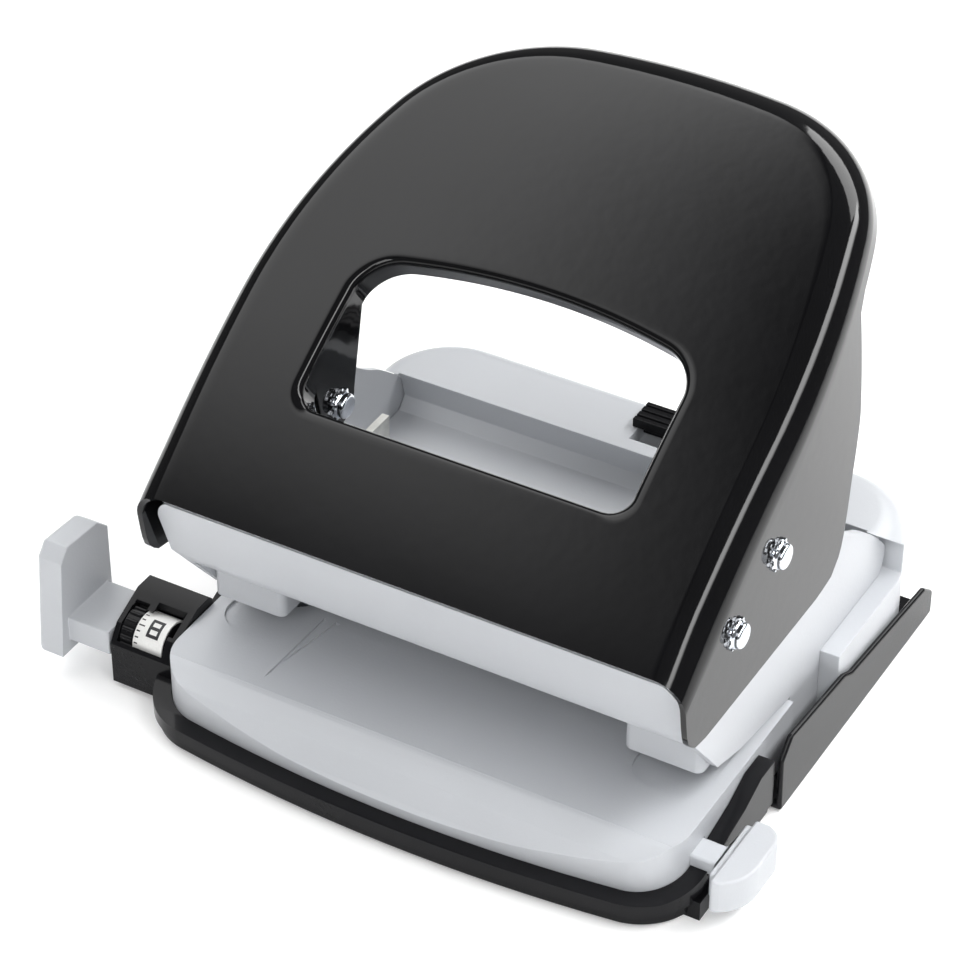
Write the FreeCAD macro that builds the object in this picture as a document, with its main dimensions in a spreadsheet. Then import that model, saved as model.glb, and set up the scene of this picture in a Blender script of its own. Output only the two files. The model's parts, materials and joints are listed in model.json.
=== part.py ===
import FreeCAD, Part
import math
import os

import Sketcher

# Two-hole office punch with a paper guide, in millimetres.  The origin is on the table, midway between
# the two punches; X runs across the paper, Y to the rear, where the handle is pressed, and Z up.

SIZES = {
    # punching unit
    "punch_spacing": 80.0,
    "punch_diameter": 6.0,
    "punch_rest_z": 20.4,
    "punch_shoulder_z": 50.0,
    "punch_top_z": 60.5,
    "punch_head_width": 9.4,
    "punch_head_depth": 10.0,
    "punch_slot_play": 2.6,
    "drive_gap": 0.12,
    "axle_diameter": 4.4,
    "axle_height": 56.0,
    "axle_inner_x": 28.4,
    "axle_outer_x": 52.9,
    "pivot_y": -14.4,
    "pivot_z": 50.1,
    "pivot_inner_x": 31.6,
    "ring_radius": 2.9,
    "ring_thickness": 1.0,
    "ring_teeth": 9.0,
    "spring_wire": 0.8,
    "spring_radius": 4.4,
    "spring_turns": 6.0,
    "collar_radius": 5.4,
    "collar_height": 1.4,
    # brackets that carry the punches
    "bracket_inner_x": 33.0,
    "bracket_outer_x": 47.0,
    "bracket_sheet": 1.4,
    "bracket_arm_z": 40.0,
    "bracket_eye_radius": 4.8,
    "bracket_rear_y": 20.0,
    # paper slot
    "slot_rear_y": 12.0,
    "tray_top_z": 14.2,
    "block_bottom_z": 19.5,
    "block_front_y": -15.6,
    "block_width": 14.4,
    "ceiling_bottom_z": 30.4,
    "ceiling_top_z": 32.0,
    "bush_radius": 5.0,
    "die_radius": 6.5,
    "die_height": 4.0,
    "die_recess_depth": 0.6,
    # head housing
    "head_width": 97.4,
    "head_wall": 1.5,
    "head_lip_y": -24.9,
    "head_lip_z": 34.8,
    "head_brow_y": -29.4,
    "head_brow_z": 48.2,
    "head_corner": 6.0,
    "head_side_top_z": 44.6,
    "head_post_rear_y": 25.7,
    "head_sill_z": 16.8,
    # base
    "tray_width": 99.0,
    "tray_front_y": -35.4,
    "tray_front_z": 7.2,
    "tray_brink_y": -28.6,
    "tray_bow": 4.4,
    "tray_corner": 9.0,
    "tray_wall": 2.0,
    "tray_bottom_z": 2.4,
    "mark_rear_y": -6.5,
    "rim_width": 3.2,
    "rim_front_z": 5.6,
    "rim_rear_z": 12.6,
    "rim_rear_y": 0.8,
    "rim_step": 0.8,
    "rim_step_z": 3.2,
    "rim_floor_z": 0.9,
    "rear_width": 104.6,
    "rear_end_y": 63.4,
    "rear_corner": 15.0,
    "deck_z": 28.0,
    "deck_front_y": 48.0,
    "deck_round": 5.0,
    "well_floor_z": 20.0,
    "pan_width": 107.2,
    "pan_wall": 1.1,
    "pan_lip_y": -9.8,
    "pan_front_y": 2.0,
    "pan_front_z": 14.6,
    "pan_waist_y": 27.8,
    "pan_waist_z": 11.4,
    "pan_rear_z": 7.0,
    # handle
    "handle_width": 102.0,
    "sheet": 1.0,
    "lip_y": -31.4,
    "lip_z": 50.6,
    "face_radius": 190.0,
    "face_angle": 42.0,
    "face_length": 109.5,
    "draw_angle": 40.0,
    "waist_radius": 145.0,
    "waist_start": 38.0,
    "crown_radius": 150.0,
    "crown_corner": 32.0,
    "edge_round": 5.5,
    "rim_depth": 8.0,
    "cheek_bottom_z": 35.0,
    "window_start": 22.5,
    "window_length": 32.0,
    "window_width": 61.0,
    "window_corner": 8.0,
    "window_bow": 120.0,
    "flange_depth": 6.0,
    "ear_radius": 5.2,
    # paper guide
    "rail_width": 2.1,
    "rail_rear_y": -13.8,
    "bar_width": 12.1,
    "bar_bottom_z": 6.5,
    "bar_top_z": 11.5,
    "bar_end_x": -71.2,
    "stop_thickness": 5.4,
    "stop_top_z": 26.0,
    "knob_start_x": 54.2,
    "knob_end_x": 61.2,
    "knob_depth": 16.8,
    "rail_end_x": 43.0,
    "stem_width": 5.0,
    "stem_height": 3.0,
    "stem_start_x": 46.2,
    # dial
    "dial_left_x": -62.2,
    "dial_front_y": -26.2,
    "dial_rear_y": -12.6,
    "dial_ridge_z": 16.0,
    "drum_y": -20.8,
    "drum_z": 9.6,
    "drum_radius": 4.3,
    "knurl_radius": 4.7,
    "knurl_ribs": 18.0,
    "wheel_width": 2.6,
    # small parts
    "lock_width": 12.0,
    "lock_length": 6.0,
    "lock_travel": 5.0,
    "foot_radius": 5.0,
    "running_gap": 0.05,
    "gap": 0.15,
}


class Size:
    """A value together with the sheet expression that gives it."""

    def __init__(self, value, text):
        self.value = value
        self.text = text

    def __neg__(self):
        return Size(-self.value, f"-({self.text})")

    def __add__(self, other):
        other = as_size(other)
        return Size(self.value + other.value, f"({self.text} + {other.text})")

    def __sub__(self, other):
        other = as_size(other)
        return Size(self.value - other.value, f"({self.text} - {other.text})")

    def __mul__(self, factor):
        return Size(self.value * factor, f"({self.text} * {factor})")

    def __truediv__(self, factor):
        return Size(self.value / factor, f"({self.text} / {factor})")

    __radd__ = __add__


def as_size(value):
    return value if isinstance(value, Size) else Size(float(value), repr(float(value)))


doc = FreeCAD.newDocument("hole_punch")
sheet = doc.addObject("Spreadsheet::Sheet", "sizes")
for row, (alias, amount) in enumerate(SIZES.items(), start=1):
    sheet.set(f"A{row}", alias)
    sheet.set(f"B{row}", str(amount))
    sheet.setAlias(f"B{row}", alias)
doc.recompute()


def size(alias):
    return Size(float(getattr(sheet, alias)), f"sizes.{alias}")


def number(alias):
    return float(getattr(sheet, alias))


def bind(target, prop, amount):
    amount = as_size(amount)
    if "sizes." in amount.text:
        target.setExpression(prop, amount.text)
    else:
        setattr(target, prop, amount.value)


PARTS = []


def keep(obj, label):
    """Marks an object as a sub-part and gives it its name."""
    obj.Label = label
    PARTS.append(obj)
    return obj


def shape_part(label, shape, place=FreeCAD.Vector()):
    """A sub-part whose shape is made by code from the sheet's sizes."""
    feature = doc.addObject("Part::Feature", label)
    feature.Shape = shape
    feature.Placement = FreeCAD.Placement(place, FreeCAD.Rotation())
    return keep(feature, label)


def mirrored(source, label):
    """The same piece on the other side of the middle plane."""
    twin = doc.addObject("Part::Mirroring", label)
    twin.Source = source
    twin.Normal = FreeCAD.Vector(1, 0, 0)
    return keep(twin, label)


# ---- sketches and features -------------------------------------------------------------------------

PLANES = {"XY": "XY_Plane", "YZ": "YZ_Plane", "XZ": "XZ_Plane"}


def new_body(label):
    body = doc.addObject("PartDesign::Body", label)
    body.Label = label
    return body


def pin_point(sketch, geometry, end, across, up):
    """Fixes one sketch point by its distances from the sketch's origin."""
    for kind, axis, amount in (("DistanceX", -2, across), ("DistanceY", -1, up)):
        amount = as_size(amount)
        if abs(amount.value) < 1e-9:
            sketch.addConstraint(Sketcher.Constraint("PointOnObject", geometry, end, axis))
            continue
        place = sketch.addConstraint(Sketcher.Constraint(kind, -1, 1, geometry, end, amount.value))
        if "sizes." in amount.text:
            sketch.setExpression(f"Constraints[{place}]", amount.text)


def arc_between(start, end, radius):
    """The short arc from start to end; a positive radius bulges to the left of the way."""
    reach = end.sub(start)
    half = reach.Length / 2
    rise = math.sqrt(max(radius * radius - half * half, 0))
    left = FreeCAD.Vector(-reach.y, reach.x, 0).normalize()
    side = 1 if radius > 0 else -1
    centre = (start + end) * 0.5 - left * (side * rise)
    first, last = (end, start) if radius > 0 else (start, end)
    circle = Part.Circle(centre, FreeCAD.Vector(0, 0, 1), abs(radius))
    begin = math.atan2(first.y - centre.y, first.x - centre.x)
    finish = math.atan2(last.y - centre.y, last.x - centre.x)
    if finish <= begin:
        finish += 2 * math.pi
    return Part.ArcOfCircle(circle, begin, finish)


def new_sketch(body, plane, offset=0):
    sketch = body.newObject("Sketcher::SketchObject", "outline")
    origin = [f for f in body.Origin.OriginFeatures if f.Role == PLANES[plane]][0]
    sketch.AttachmentSupport = [(origin, "")]
    sketch.MapMode = "FlatFace"
    bind_offset = as_size(offset)
    if "sizes." in bind_offset.text:
        sketch.setExpression("AttachmentOffset.Base.z", bind_offset.text)
    else:
        sketch.AttachmentOffset.Base.z = bind_offset.value
    return sketch


def outline(body, plane, points, offset=0):
    """A closed outline; a point with a third value starts an arc of that radius."""
    sketch = new_sketch(body, plane, offset)
    spots = [FreeCAD.Vector(as_size(p[0]).value, as_size(p[1]).value, 0) for p in points]
    count = len(points)
    for index, point in enumerate(points):
        start, end = spots[index], spots[(index + 1) % count]
        if len(point) > 2:
            sketch.addGeometry(arc_between(start, end, as_size(point[2]).value), False)
        else:
            sketch.addGeometry(Part.LineSegment(start, end), False)
    heads = []
    for index, point in enumerate(points):
        arc = sketch.Geometry[index]
        forward = (arc.StartPoint - spots[index]).Length < 1e-6
        heads.append((1, 2) if forward else (2, 1))
    for index, point in enumerate(points):
        after = (index + 1) % count
        sketch.addConstraint(
            Sketcher.Constraint("Coincident", index, heads[index][1], after, heads[after][0])
        )
        pin_point(sketch, index, heads[index][0], point[0], point[1])
    return sketch


def circles(body, plane, spots, radius, offset=0):
    sketch = new_sketch(body, plane, offset)
    radius = as_size(radius)
    for index, (across, up) in enumerate(spots):
        centre = FreeCAD.Vector(as_size(across).value, as_size(up).value, 0)
        sketch.addGeometry(Part.Circle(centre, FreeCAD.Vector(0, 0, 1), radius.value), False)
        pin_point(sketch, index, 3, across, up)
        place = sketch.addConstraint(Sketcher.Constraint("Radius", index, radius.value))
        if "sizes." in radius.text:
            sketch.setExpression(f"Constraints[{place}]", radius.text)
    return sketch


def box_points(low_across, low_up, high_across, high_up):
    return [
        (low_across, low_up),
        (high_across, low_up),
        (high_across, high_up),
        (low_across, high_up),
    ]


def pad(body, sketch, length, both_ways=False):
    feature = body.newObject("PartDesign::Pad", "pad")
    feature.Profile = sketch
    bind(feature, "Length", length)
    feature.Midplane = both_ways
    body.Tip = feature
    doc.recompute()
    return feature


def pocket(body, sketch, length=None, both_ways=False, up=False):
    """Cuts a sketch's outline away; with no length it goes through everything."""
    before = body.Shape.Volume
    feature = body.newObject("PartDesign::Pocket", "pocket")
    feature.Profile = sketch
    if length is None:
        feature.Type = 1
    else:
        bind(feature, "Length", length)
    feature.Midplane = both_ways
    feature.Reversed = up
    body.Tip = feature
    doc.recompute()
    if body.Shape.Volume > before - 1e-6:
        raise RuntimeError(f"a pocket of {body.Label} cuts nothing")
    return feature


def edge_names(shape, chosen):
    return [f"Edge{index}" for index, edge in enumerate(shape.Edges, start=1) if chosen(edge)]


def round_edges(body, radius, chosen):
    """Rounds the edges that the given test picks."""
    base = body.Tip
    names = edge_names(base.Shape, chosen)
    if not names:
        raise RuntimeError(f"{body.Label} has no edge to round")
    feature = body.newObject("PartDesign::Fillet", "round")
    feature.Base = (base, names)
    bind(feature, "Radius", radius)
    body.Tip = feature
    doc.recompute()
    return feature


def upright(edge):
    if edge.Length < 0.5 or edge.Curve.TypeId != "Part::GeomLine":
        return False
    return abs(edge.tangentAt(edge.FirstParameter).z) > 0.999


def near(edge, x=None, y=None, z=None, tolerance=0.05):
    middle = edge.valueAt((edge.FirstParameter + edge.LastParameter) / 2)
    wanted = ((middle.x, x), (middle.y, y), (middle.z, z))
    return all(aim is None or abs(value - aim) < tolerance for value, aim in wanted)


# ---- sizes that several pieces share ----------------------------------------------------------------

GAP = size("gap")
RUN = size("running_gap")
PUNCH_X = size("punch_spacing") / 2
PUNCH_R = size("punch_diameter") / 2
AXLE_R = size("axle_diameter") / 2
BLOCK_IN = PUNCH_X - size("block_width") / 2
BLOCK_OUT = PUNCH_X + size("block_width") / 2
TRAY_HALF = size("tray_width") / 2
HEAD_HALF = size("head_width") / 2
HEAD_IN = HEAD_HALF - size("head_wall")
REAR_HALF = size("rear_width") / 2
SLOT_REAR = size("slot_rear_y")
POST_FRONT = SLOT_REAR + 2.3
RAIL_FRONT = size("rail_rear_y") - size("rail_width")
BAR_FRONT = size("rail_rear_y") - size("bar_width")
DRUM_LENGTH = -(TRAY_HALF + GAP) - size("dial_left_x") - size("wheel_width") - 3.8
KNOB_REAR = size("rail_rear_y") + 1.4
KNOB_FRONT = KNOB_REAR - size("knob_depth")
KNOB_LOW = size("bar_bottom_z") - 1.6


# ---- base -------------------------------------------------------------------------------------------


def tray_outline(grow, rear):
    """The tray's plan, grown by a margin: straight sides and a bowed front."""
    half = TRAY_HALF + grow
    front = size("tray_front_y") - grow
    bow_start = front + size("tray_bow")
    bow_radius = (half.value**2 + number("tray_bow") ** 2) / (2 * number("tray_bow"))
    return [
        (-half, rear),
        (-half, bow_start, -bow_radius),
        (half, bow_start),
        (half, rear),
    ]


def front_corner(edge):
    """The upright edges where the bowed front meets the sides."""
    return upright(edge) and near(edge, y=number("tray_front_y") + number("tray_bow"), tolerance=6)


def rail_passage():
    return box_points(
        RAIL_FRONT - GAP, size("bar_bottom_z") - GAP, size("rail_rear_y") + GAP, size("bar_top_z") + GAP
    )


def stem_section(grow):
    """Section of the button's stem, grown by a clearance."""
    middle = (KNOB_FRONT + KNOB_REAR) / 2
    half = size("stem_width") / 2 + grow
    low = size("bar_bottom_z") - grow
    return box_points(middle - half, low, middle + half, low + size("stem_height") + grow * 2)


def make_front_tray():
    body = new_body("front_tray")
    bottom = size("tray_bottom_z")
    top = size("tray_top_z")
    rear = POST_FRONT - GAP
    pad(body, outline(body, "XY", tray_outline(0, rear), bottom), top - bottom)
    round_edges(body, size("tray_corner"), front_corner)
    brow = [
        (size("tray_front_y") - 5, size("tray_front_z") - 4),
        (size("tray_front_y") - 5, top + 5),
        (size("tray_brink_y") + 1, top + 5),
        (size("tray_brink_y") + 1, top - 0.05),
        (size("tray_brink_y"), top - 0.3),
        (size("tray_brink_y") - 3.4, size("tray_front_z") + 4.6),
        (size("tray_front_y") + 0.9, size("tray_front_z") + 0.9),
    ]
    pocket(body, outline(body, "YZ", brow), 200, both_ways=True)
    wall = size("tray_wall")
    hollow = box_points(-(TRAY_HALF - wall), size("tray_brink_y") + 0.6, TRAY_HALF - wall, rear - wall)
    pocket(body, outline(body, "XY", hollow, bottom), top - bottom - wall, up=True)
    pocket(body, outline(body, "YZ", rail_passage()), 200)
    pocket(body, outline(body, "YZ", stem_section(GAP)), 200, up=True)
    for side in (-1, 1):
        low = PUNCH_X * side - 6.9
        recess = box_points(low, size("block_front_y") - 0.9, low + 13.8, SLOT_REAR)
        pocket(body, outline(body, "XY", recess, top), size("die_recess_depth"))
    round_edges(body, 5, lambda edge: upright(edge) and near(edge, y=number("block_front_y") - 0.9))
    spots = [(-PUNCH_X, 0), (PUNCH_X, 0)]
    seat = top - size("die_height") - 1.2
    pad(body, circles(body, "XY", spots, size("die_radius") + 1.6, seat), size("die_height") - 0.4)
    pocket(body, circles(body, "XY", spots, size("die_radius"), top), size("die_height"))
    pocket(body, circles(body, "XY", spots, PUNCH_R + 1.5, top))
    mark_rear = size("mark_rear_y")
    mark = [
        (-30.6, mark_rear),
        (-31.1, size("tray_brink_y") + 3.6),
        (-27.4, mark_rear),
        (-28.2, mark_rear),
        (-30.6, size("tray_brink_y") + 9.0),
        (-29.9, mark_rear),
    ]
    pocket(body, outline(body, "XY", mark, top), 0.4)
    return keep(body, "front_tray")


def make_front_rim():
    """The black band round the tray's front, with its floor and one foot."""
    body = new_body("front_rim")
    rear = size("rim_rear_y")
    floor = size("rim_floor_z")
    step = size("rim_step")
    grow = size("rim_width")
    top = size("rim_rear_z")
    pad(body, outline(body, "XY", tray_outline(grow - step, rear), floor), size("rim_step_z") - floor)
    round_edges(body, size("tray_corner") + grow - step, front_corner)
    upper_start = size("rim_step_z")
    pad(body, outline(body, "XY", tray_outline(grow, rear), upper_start), top - upper_start)
    round_edges(
        body,
        size("tray_corner") + grow,
        lambda edge: front_corner(edge) and near(edge, z=(number("rim_step_z") + number("rim_rear_z")) / 2),
    )
    inner = new_body("rim_cutter")
    pad(inner, outline(inner, "XY", tray_outline(GAP, rear + 1), size("tray_bottom_z") - GAP), 30)
    round_edges(inner, size("tray_corner") + GAP, front_corner)
    cut = body.newObject("PartDesign::Boolean", "hollow")
    cut.Type = "Cut"
    cut.addObject(inner)
    body.Tip = cut
    doc.recompute()
    slope = [
        (size("tray_front_y") - 9, size("rim_front_z")),
        (size("tray_front_y") + 3, size("rim_front_z")),
        (-10, top - 2.4),
        (rear - 5, top),
        (rear + 1, top),
        (rear + 1, top + 9),
        (size("tray_front_y") - 9, top + 9),
    ]
    pocket(body, outline(body, "YZ", slope), 200, both_ways=True)
    bay = box_points(
        size("dial_front_y") - GAP, floor - 1, size("dial_rear_y") + GAP, top + 9
    )
    pocket(body, outline(body, "YZ", bay, -(TRAY_HALF + GAP)), 60, up=False)
    pocket(body, outline(body, "YZ", stem_section(GAP)), 200, up=True)
    pan_room = box_points(-TRAY_HALF, size("pan_lip_y") - GAP, TRAY_HALF, rear + 1)
    pocket(body, outline(body, "XY", pan_room, size("tray_bottom_z")), 30)
    foot_in = TRAY_HALF + GAP
    foot_out = TRAY_HALF + 4
    right_foot = box_points(foot_in, -27.2, foot_out, -15)
    pad(body, outline(body, "XY", right_foot, 0), size("rim_step_z") + 0.6)
    return keep(body, "front_rim")


def make_front_pad():
    """Rubber strip under the base's front, which the object stands on together with its feet."""
    body = new_body("front_pad")
    plan = box_points(-38, size("pan_lip_y") - 14, 38, size("pan_lip_y") - 4)
    pad(body, outline(body, "XY", plan, 0), size("rim_floor_z"))
    return keep(body, "front_pad")


def head_profile(inset):
    """The head's side outline; the inset moves its upper and rear edges inwards."""
    return [
        (size("head_lip_y"), size("head_lip_z")),
        (size("head_brow_y"), size("head_brow_z")),
        (size("head_brow_y") + 2.4, size("head_brow_z") + 1.2),
        (size("pivot_y") - 6.6, size("head_side_top_z")),
        (20, size("head_side_top_z")),
        (27, size("head_side_top_z") - 1.6, -40),
        (39, 33.2, 60),
        (50.9 - inset, 22.4, 6),
        (49.4 - inset, size("head_sill_z") + inset),
        (size("head_post_rear_y") - inset, size("head_sill_z") + inset),
        (size("head_post_rear_y") - inset, size("tray_bottom_z")),
        (POST_FRONT, size("tray_bottom_z")),
        (POST_FRONT, size("tray_top_z") + 0.6),
        (-4.7, 17.6),
        (-12.9, 20.0),
    ]


def make_head_housing():
    body = new_body("head_housing")
    pad(body, outline(body, "YZ", head_profile(0)), size("head_width"), both_ways=True)
    wall = size("head_wall")
    brow_y = size("head_brow_y")
    room = [
        (size("head_lip_y") + wall, size("head_lip_z") - 1.8),
        (brow_y + wall, size("head_brow_z") - 0.4),
        (brow_y + wall, size("head_brow_z") + 9),
        (70, size("head_brow_z") + 9),
        (70, size("ceiling_top_z")),
        (SLOT_REAR + 6, size("ceiling_top_z")),
        (size("head_lip_y") + wall + 3, size("ceiling_top_z")),
    ]
    pocket(body, outline(body, "YZ", room), HEAD_IN * 2, both_ways=True)
    slot = [
        (size("head_lip_y") - 4, size("tray_bottom_z") - 2),
        (size("head_lip_y") - 4, size("head_lip_z") - 0.6),
        (size("head_lip_y") + 0.4, size("head_lip_z") - 0.6),
        (size("head_lip_y") + 3, size("ceiling_bottom_z")),
        (POST_FRONT, size("ceiling_bottom_z")),
        (POST_FRONT, size("tray_bottom_z") - 2),
    ]
    pocket(body, outline(body, "YZ", slot), HEAD_IN * 2, both_ways=True)
    well = box_points(
        POST_FRONT + wall, size("tray_bottom_z") - 2, 70, size("ceiling_top_z") + 0.1
    )
    pocket(body, outline(body, "YZ", well), HEAD_IN * 2, both_ways=True)
    spots = [(-PUNCH_X, 0), (PUNCH_X, 0)]
    pocket(body, circles(body, "XY", spots, size("bush_radius"), 60))
    corner = [
        (HEAD_HALF - size("head_corner"), size("head_brow_z") + 4),
        (HEAD_HALF - size("head_corner"), size("head_brow_z") + 1.3, size("head_corner") * 1.06),
        (HEAD_HALF + 0.01, size("head_brow_z") - size("head_corner") + 0.6),
        (HEAD_HALF + 4, size("head_brow_z") - size("head_corner") + 0.6),
        (HEAD_HALF + 4, size("head_brow_z") + 4),
    ]
    for side in (-1, 1):
        points = [(p[0] * side, p[1]) + tuple(r * side for r in p[2:]) for p in corner]
        cutter = outline(body, "XZ", points, 22)
        pocket(body, cutter, 12, up=True)
    return keep(body, "head_housing")


def make_guide_block(label):
    """Plastic block under the head that strips the paper off the punch."""
    body = new_body(label)
    plan = box_points(BLOCK_IN, size("block_front_y"), BLOCK_OUT - GAP, SLOT_REAR)
    height = size("ceiling_bottom_z") - size("block_bottom_z")
    pad(body, outline(body, "XY", plan, size("block_bottom_z")), height)
    round_edges(
        body, 1.4, lambda edge: upright(edge) and near(edge, y=number("block_front_y"))
    )
    pocket(body, circles(body, "XY", [(PUNCH_X, 0)], size("bush_radius"), 60))
    return keep(body, label)


def tube(label, x, outer, inner, bottom, top):
    """A plain upright tube; with no inner radius it is a solid pin."""
    body = new_body(label)
    pad(body, circles(body, "XY", [(x, 0)], outer, bottom), top - bottom)
    if inner is not None:
        pocket(body, circles(body, "XY", [(x, 0)], inner, top))
    return keep(body, label)


def make_bracket(label):
    """Folded steel bracket: a web over the slot and two walls with the pivot's eyes."""
    body = new_body(label)
    fold = size("bracket_sheet")
    web_z = size("ceiling_top_z")
    eye = size("bracket_eye_radius")
    pivot_y = size("pivot_y")
    profile = [
        (pivot_y - eye, web_z),
        (pivot_y - eye, size("pivot_z"), eye),
        (pivot_y, size("pivot_z") + eye, eye),
        (pivot_y + eye, size("pivot_z")),
        (pivot_y + eye, size("bracket_arm_z")),
        (size("bracket_rear_y"), size("bracket_arm_z")),
        (size("bracket_rear_y"), web_z),
    ]
    width = size("bracket_outer_x") - size("bracket_inner_x")
    middle = (size("bracket_outer_x") + size("bracket_inner_x")) / 2
    pad(body, outline(body, "YZ", profile, middle), width, both_ways=True)
    inside = box_points(-60, web_z + fold, 60, web_z + 60)
    pocket(body, outline(body, "YZ", inside, middle), width - fold * 2, both_ways=True)
    pocket(body, circles(body, "XY", [(PUNCH_X, 0)], size("bush_radius"), 90))
    hole = circles(body, "YZ", [(pivot_y, size("pivot_z"))], AXLE_R + RUN, 90)
    pocket(body, hole)
    return keep(body, label)


def make_paper_stop():
    """Steel strip that the paper's edge meets, 12 mm behind the punches."""
    body = new_body("paper_stop")
    profile = box_points(SLOT_REAR + GAP, size("tray_top_z") + GAP, POST_FRONT - GAP, size("ceiling_bottom_z"))
    pad(body, outline(body, "YZ", profile), HEAD_IN * 2 - GAP * 2, both_ways=True)
    return keep(body, "paper_stop")


def make_rear_cover():
    body = new_body("rear_cover")
    front = POST_FRONT + size("head_wall") + GAP
    end = size("rear_end_y")
    bottom = size("tray_bottom_z")
    deck = size("deck_z")
    pad(body, outline(body, "XY", box_points(-REAR_HALF, front, REAR_HALF, end), bottom), deck - bottom)
    round_edges(body, size("rear_corner"), lambda edge: upright(edge) and near(edge, y=number("rear_end_y")))
    end_y = number("rear_end_y")
    round_edges(
        body,
        size("deck_round"),
        lambda edge: abs(edge.BoundBox.ZMin - number("deck_z")) < 0.01
        and edge.BoundBox.ZLength < 0.01
        and (edge.BoundBox.YMax > end_y - 16.0 or abs(edge.BoundBox.XMin) > number("rear_width") / 2 - 0.1)
        and edge.BoundBox.YMax > number("slot_rear_y") + 5,
    )
    well = [
        (front - 9, size("well_floor_z")),
        (size("deck_front_y") - 2.2, size("well_floor_z")),
        (size("deck_front_y"), size("well_floor_z") + 2.2),
        (size("deck_front_y") - 1.6, deck),
        (size("deck_front_y") - 1.6, deck + 9),
        (front - 9, deck + 9),
    ]
    pocket(body, outline(body, "YZ", well), (HEAD_IN - GAP) * 2, both_ways=True)
    shoulder = [
        (front - 9, bottom - 2),
        (size("head_post_rear_y") + GAP, bottom - 2),
        (size("head_post_rear_y") + GAP, size("head_sill_z") - GAP),
        (size("head_post_rear_y") + 26.4, size("head_sill_z") - GAP),
        (size("head_post_rear_y") + 26.4, 22.8),
        (45.8, deck),
        (45.8, deck + 9),
        (front - 9, deck + 9),
    ]
    for side in (-1, 1):
        sketch = outline(body, "YZ", shoulder, (HEAD_IN - GAP) * side)
        pocket(body, sketch, 40, up=side > 0)
    wall = size("tray_wall")
    under_half = HEAD_IN - GAP - wall
    under = box_points(-under_half, front + wall, under_half, end - wall * 2)
    pocket(body, outline(body, "XY", under, bottom), size("well_floor_z") - wall - bottom, up=True)
    tongue_front = lock_rear() - size("lock_length") + 2
    slide = box_points(
        -(GAP + 1.0),
        tongue_front - size("lock_travel") - GAP,
        size("lock_width") - 3.4 + GAP,
        tongue_front + 2 + GAP,
    )
    pocket(body, outline(body, "XY", slide, deck), 3)
    return keep(body, "rear_cover")


def lock_rear():
    """Rear edge of the lock slider at rest, where the deck is still flat."""
    return size("rear_end_y") - size("deck_round") + 0.4


def make_lock_slider():
    """Ribbed slider on the deck, with a tongue that runs in the deck's slot."""
    body = new_body("lock_slider")
    low = size("deck_z")
    top = low + 2.0
    start = lock_rear() - size("lock_length")
    plate = box_points(-2.2, start, size("lock_width") - 2.2, lock_rear())
    pad(body, outline(body, "XY", plate, low + GAP), top - low - GAP)
    tongue = box_points(-1.0, start + 2, size("lock_width") - 3.4, start + 4)
    pad(body, outline(body, "XY", tongue, low - 2), 2.5)
    for index in range(3):
        groove = [
            (start + 0.9 + index * 1.7, top + 1),
            (start + 1.4 + index * 1.7, top - 0.7),
            (start + 1.9 + index * 1.7, top + 1),
        ]
        pocket(body, outline(body, "YZ", groove), 90, both_ways=True)
    return keep(body, "lock_slider")


def make_chip_tray():
    """Pan that catches the chips: a floor that reaches under the dies and two tapering side plates."""
    body = new_body("chip_tray")
    end = size("rear_end_y") + 0.3
    front = size("pan_front_y")
    half = size("pan_width") / 2
    sides = [
        (front + 0.4, 0.5),
        (front, size("pan_front_z") - 3),
        (front + 3.4, size("pan_front_z") + 0.4),
        (size("pan_waist_y") - 1.6, size("pan_waist_z") + 1.6),
        (size("pan_waist_y") + 1.6, size("pan_waist_z")),
        (end - 3.8, size("pan_rear_z") + 1.4),
        (end, size("pan_rear_z") - 1.6),
        (end, 0.5),
    ]
    pad(body, outline(body, "YZ", sides), size("pan_width"), both_ways=True)
    room = box_points(front - 9, size("tray_bottom_z") - 0.4, end + 9, 60)
    pocket(body, outline(body, "YZ", room), (half - size("pan_wall")) * 2, both_ways=True)
    tongue_half = TRAY_HALF - GAP
    tongue = box_points(-tongue_half, size("pan_lip_y"), tongue_half, front + 2)
    pad(body, outline(body, "XY", tongue, 0.5), size("tray_bottom_z") - 0.9)
    return keep(body, "chip_tray")


def disc_group(label, spots, radius, bottom, height):
    body = new_body(label)
    pad(body, circles(body, "XY", spots, radius, bottom), height)
    return keep(body, label)


# ---- paper guide and dial ---------------------------------------------------------------------------


def make_guide_bar():
    """Paper guide: a wide end with the upright stop, and a thin rail through the base."""
    body = new_body("guide_bar")
    rear = size("rail_rear_y")
    low = size("bar_bottom_z")
    high = size("bar_top_z")
    end_x = size("bar_end_x")
    left = size("dial_left_x") - 0.5
    pad(body, outline(body, "XY", box_points(end_x - 1, BAR_FRONT, left, rear), low), high - low)
    rail = box_points(left - 1, RAIL_FRONT, size("rail_end_x"), rear)
    pad(body, outline(body, "XY", rail, low), high - low)
    plate = [
        (BAR_FRONT - 2.4, low - 2.4),
        (BAR_FRONT - 0.6, size("stop_top_z") - 2.5),
        (BAR_FRONT + 1.6, size("stop_top_z")),
        (rear - 1.6, size("stop_top_z") - 0.6),
        (rear + 1.3, size("stop_top_z") - 3.2),
        (rear + 1.3, low + 1.2),
        (rear - 2.4, low - 2.4),
    ]
    thickness = size("stop_thickness")
    pad(body, outline(body, "YZ", plate, end_x - thickness / 2), thickness, both_ways=True)
    outer_face = number("bar_end_x") - number("stop_thickness")
    round_edges(body, 1.4, lambda edge: edge.BoundBox.XLength < 0.01 and near(edge, x=outer_face))
    notch = box_points(BAR_FRONT + 2.6, low - 1, rear - 2.6, low + 2.2)
    pocket(body, outline(body, "YZ", notch, left - 3), 3.0, up=False)
    return keep(body, "guide_bar")


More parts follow.
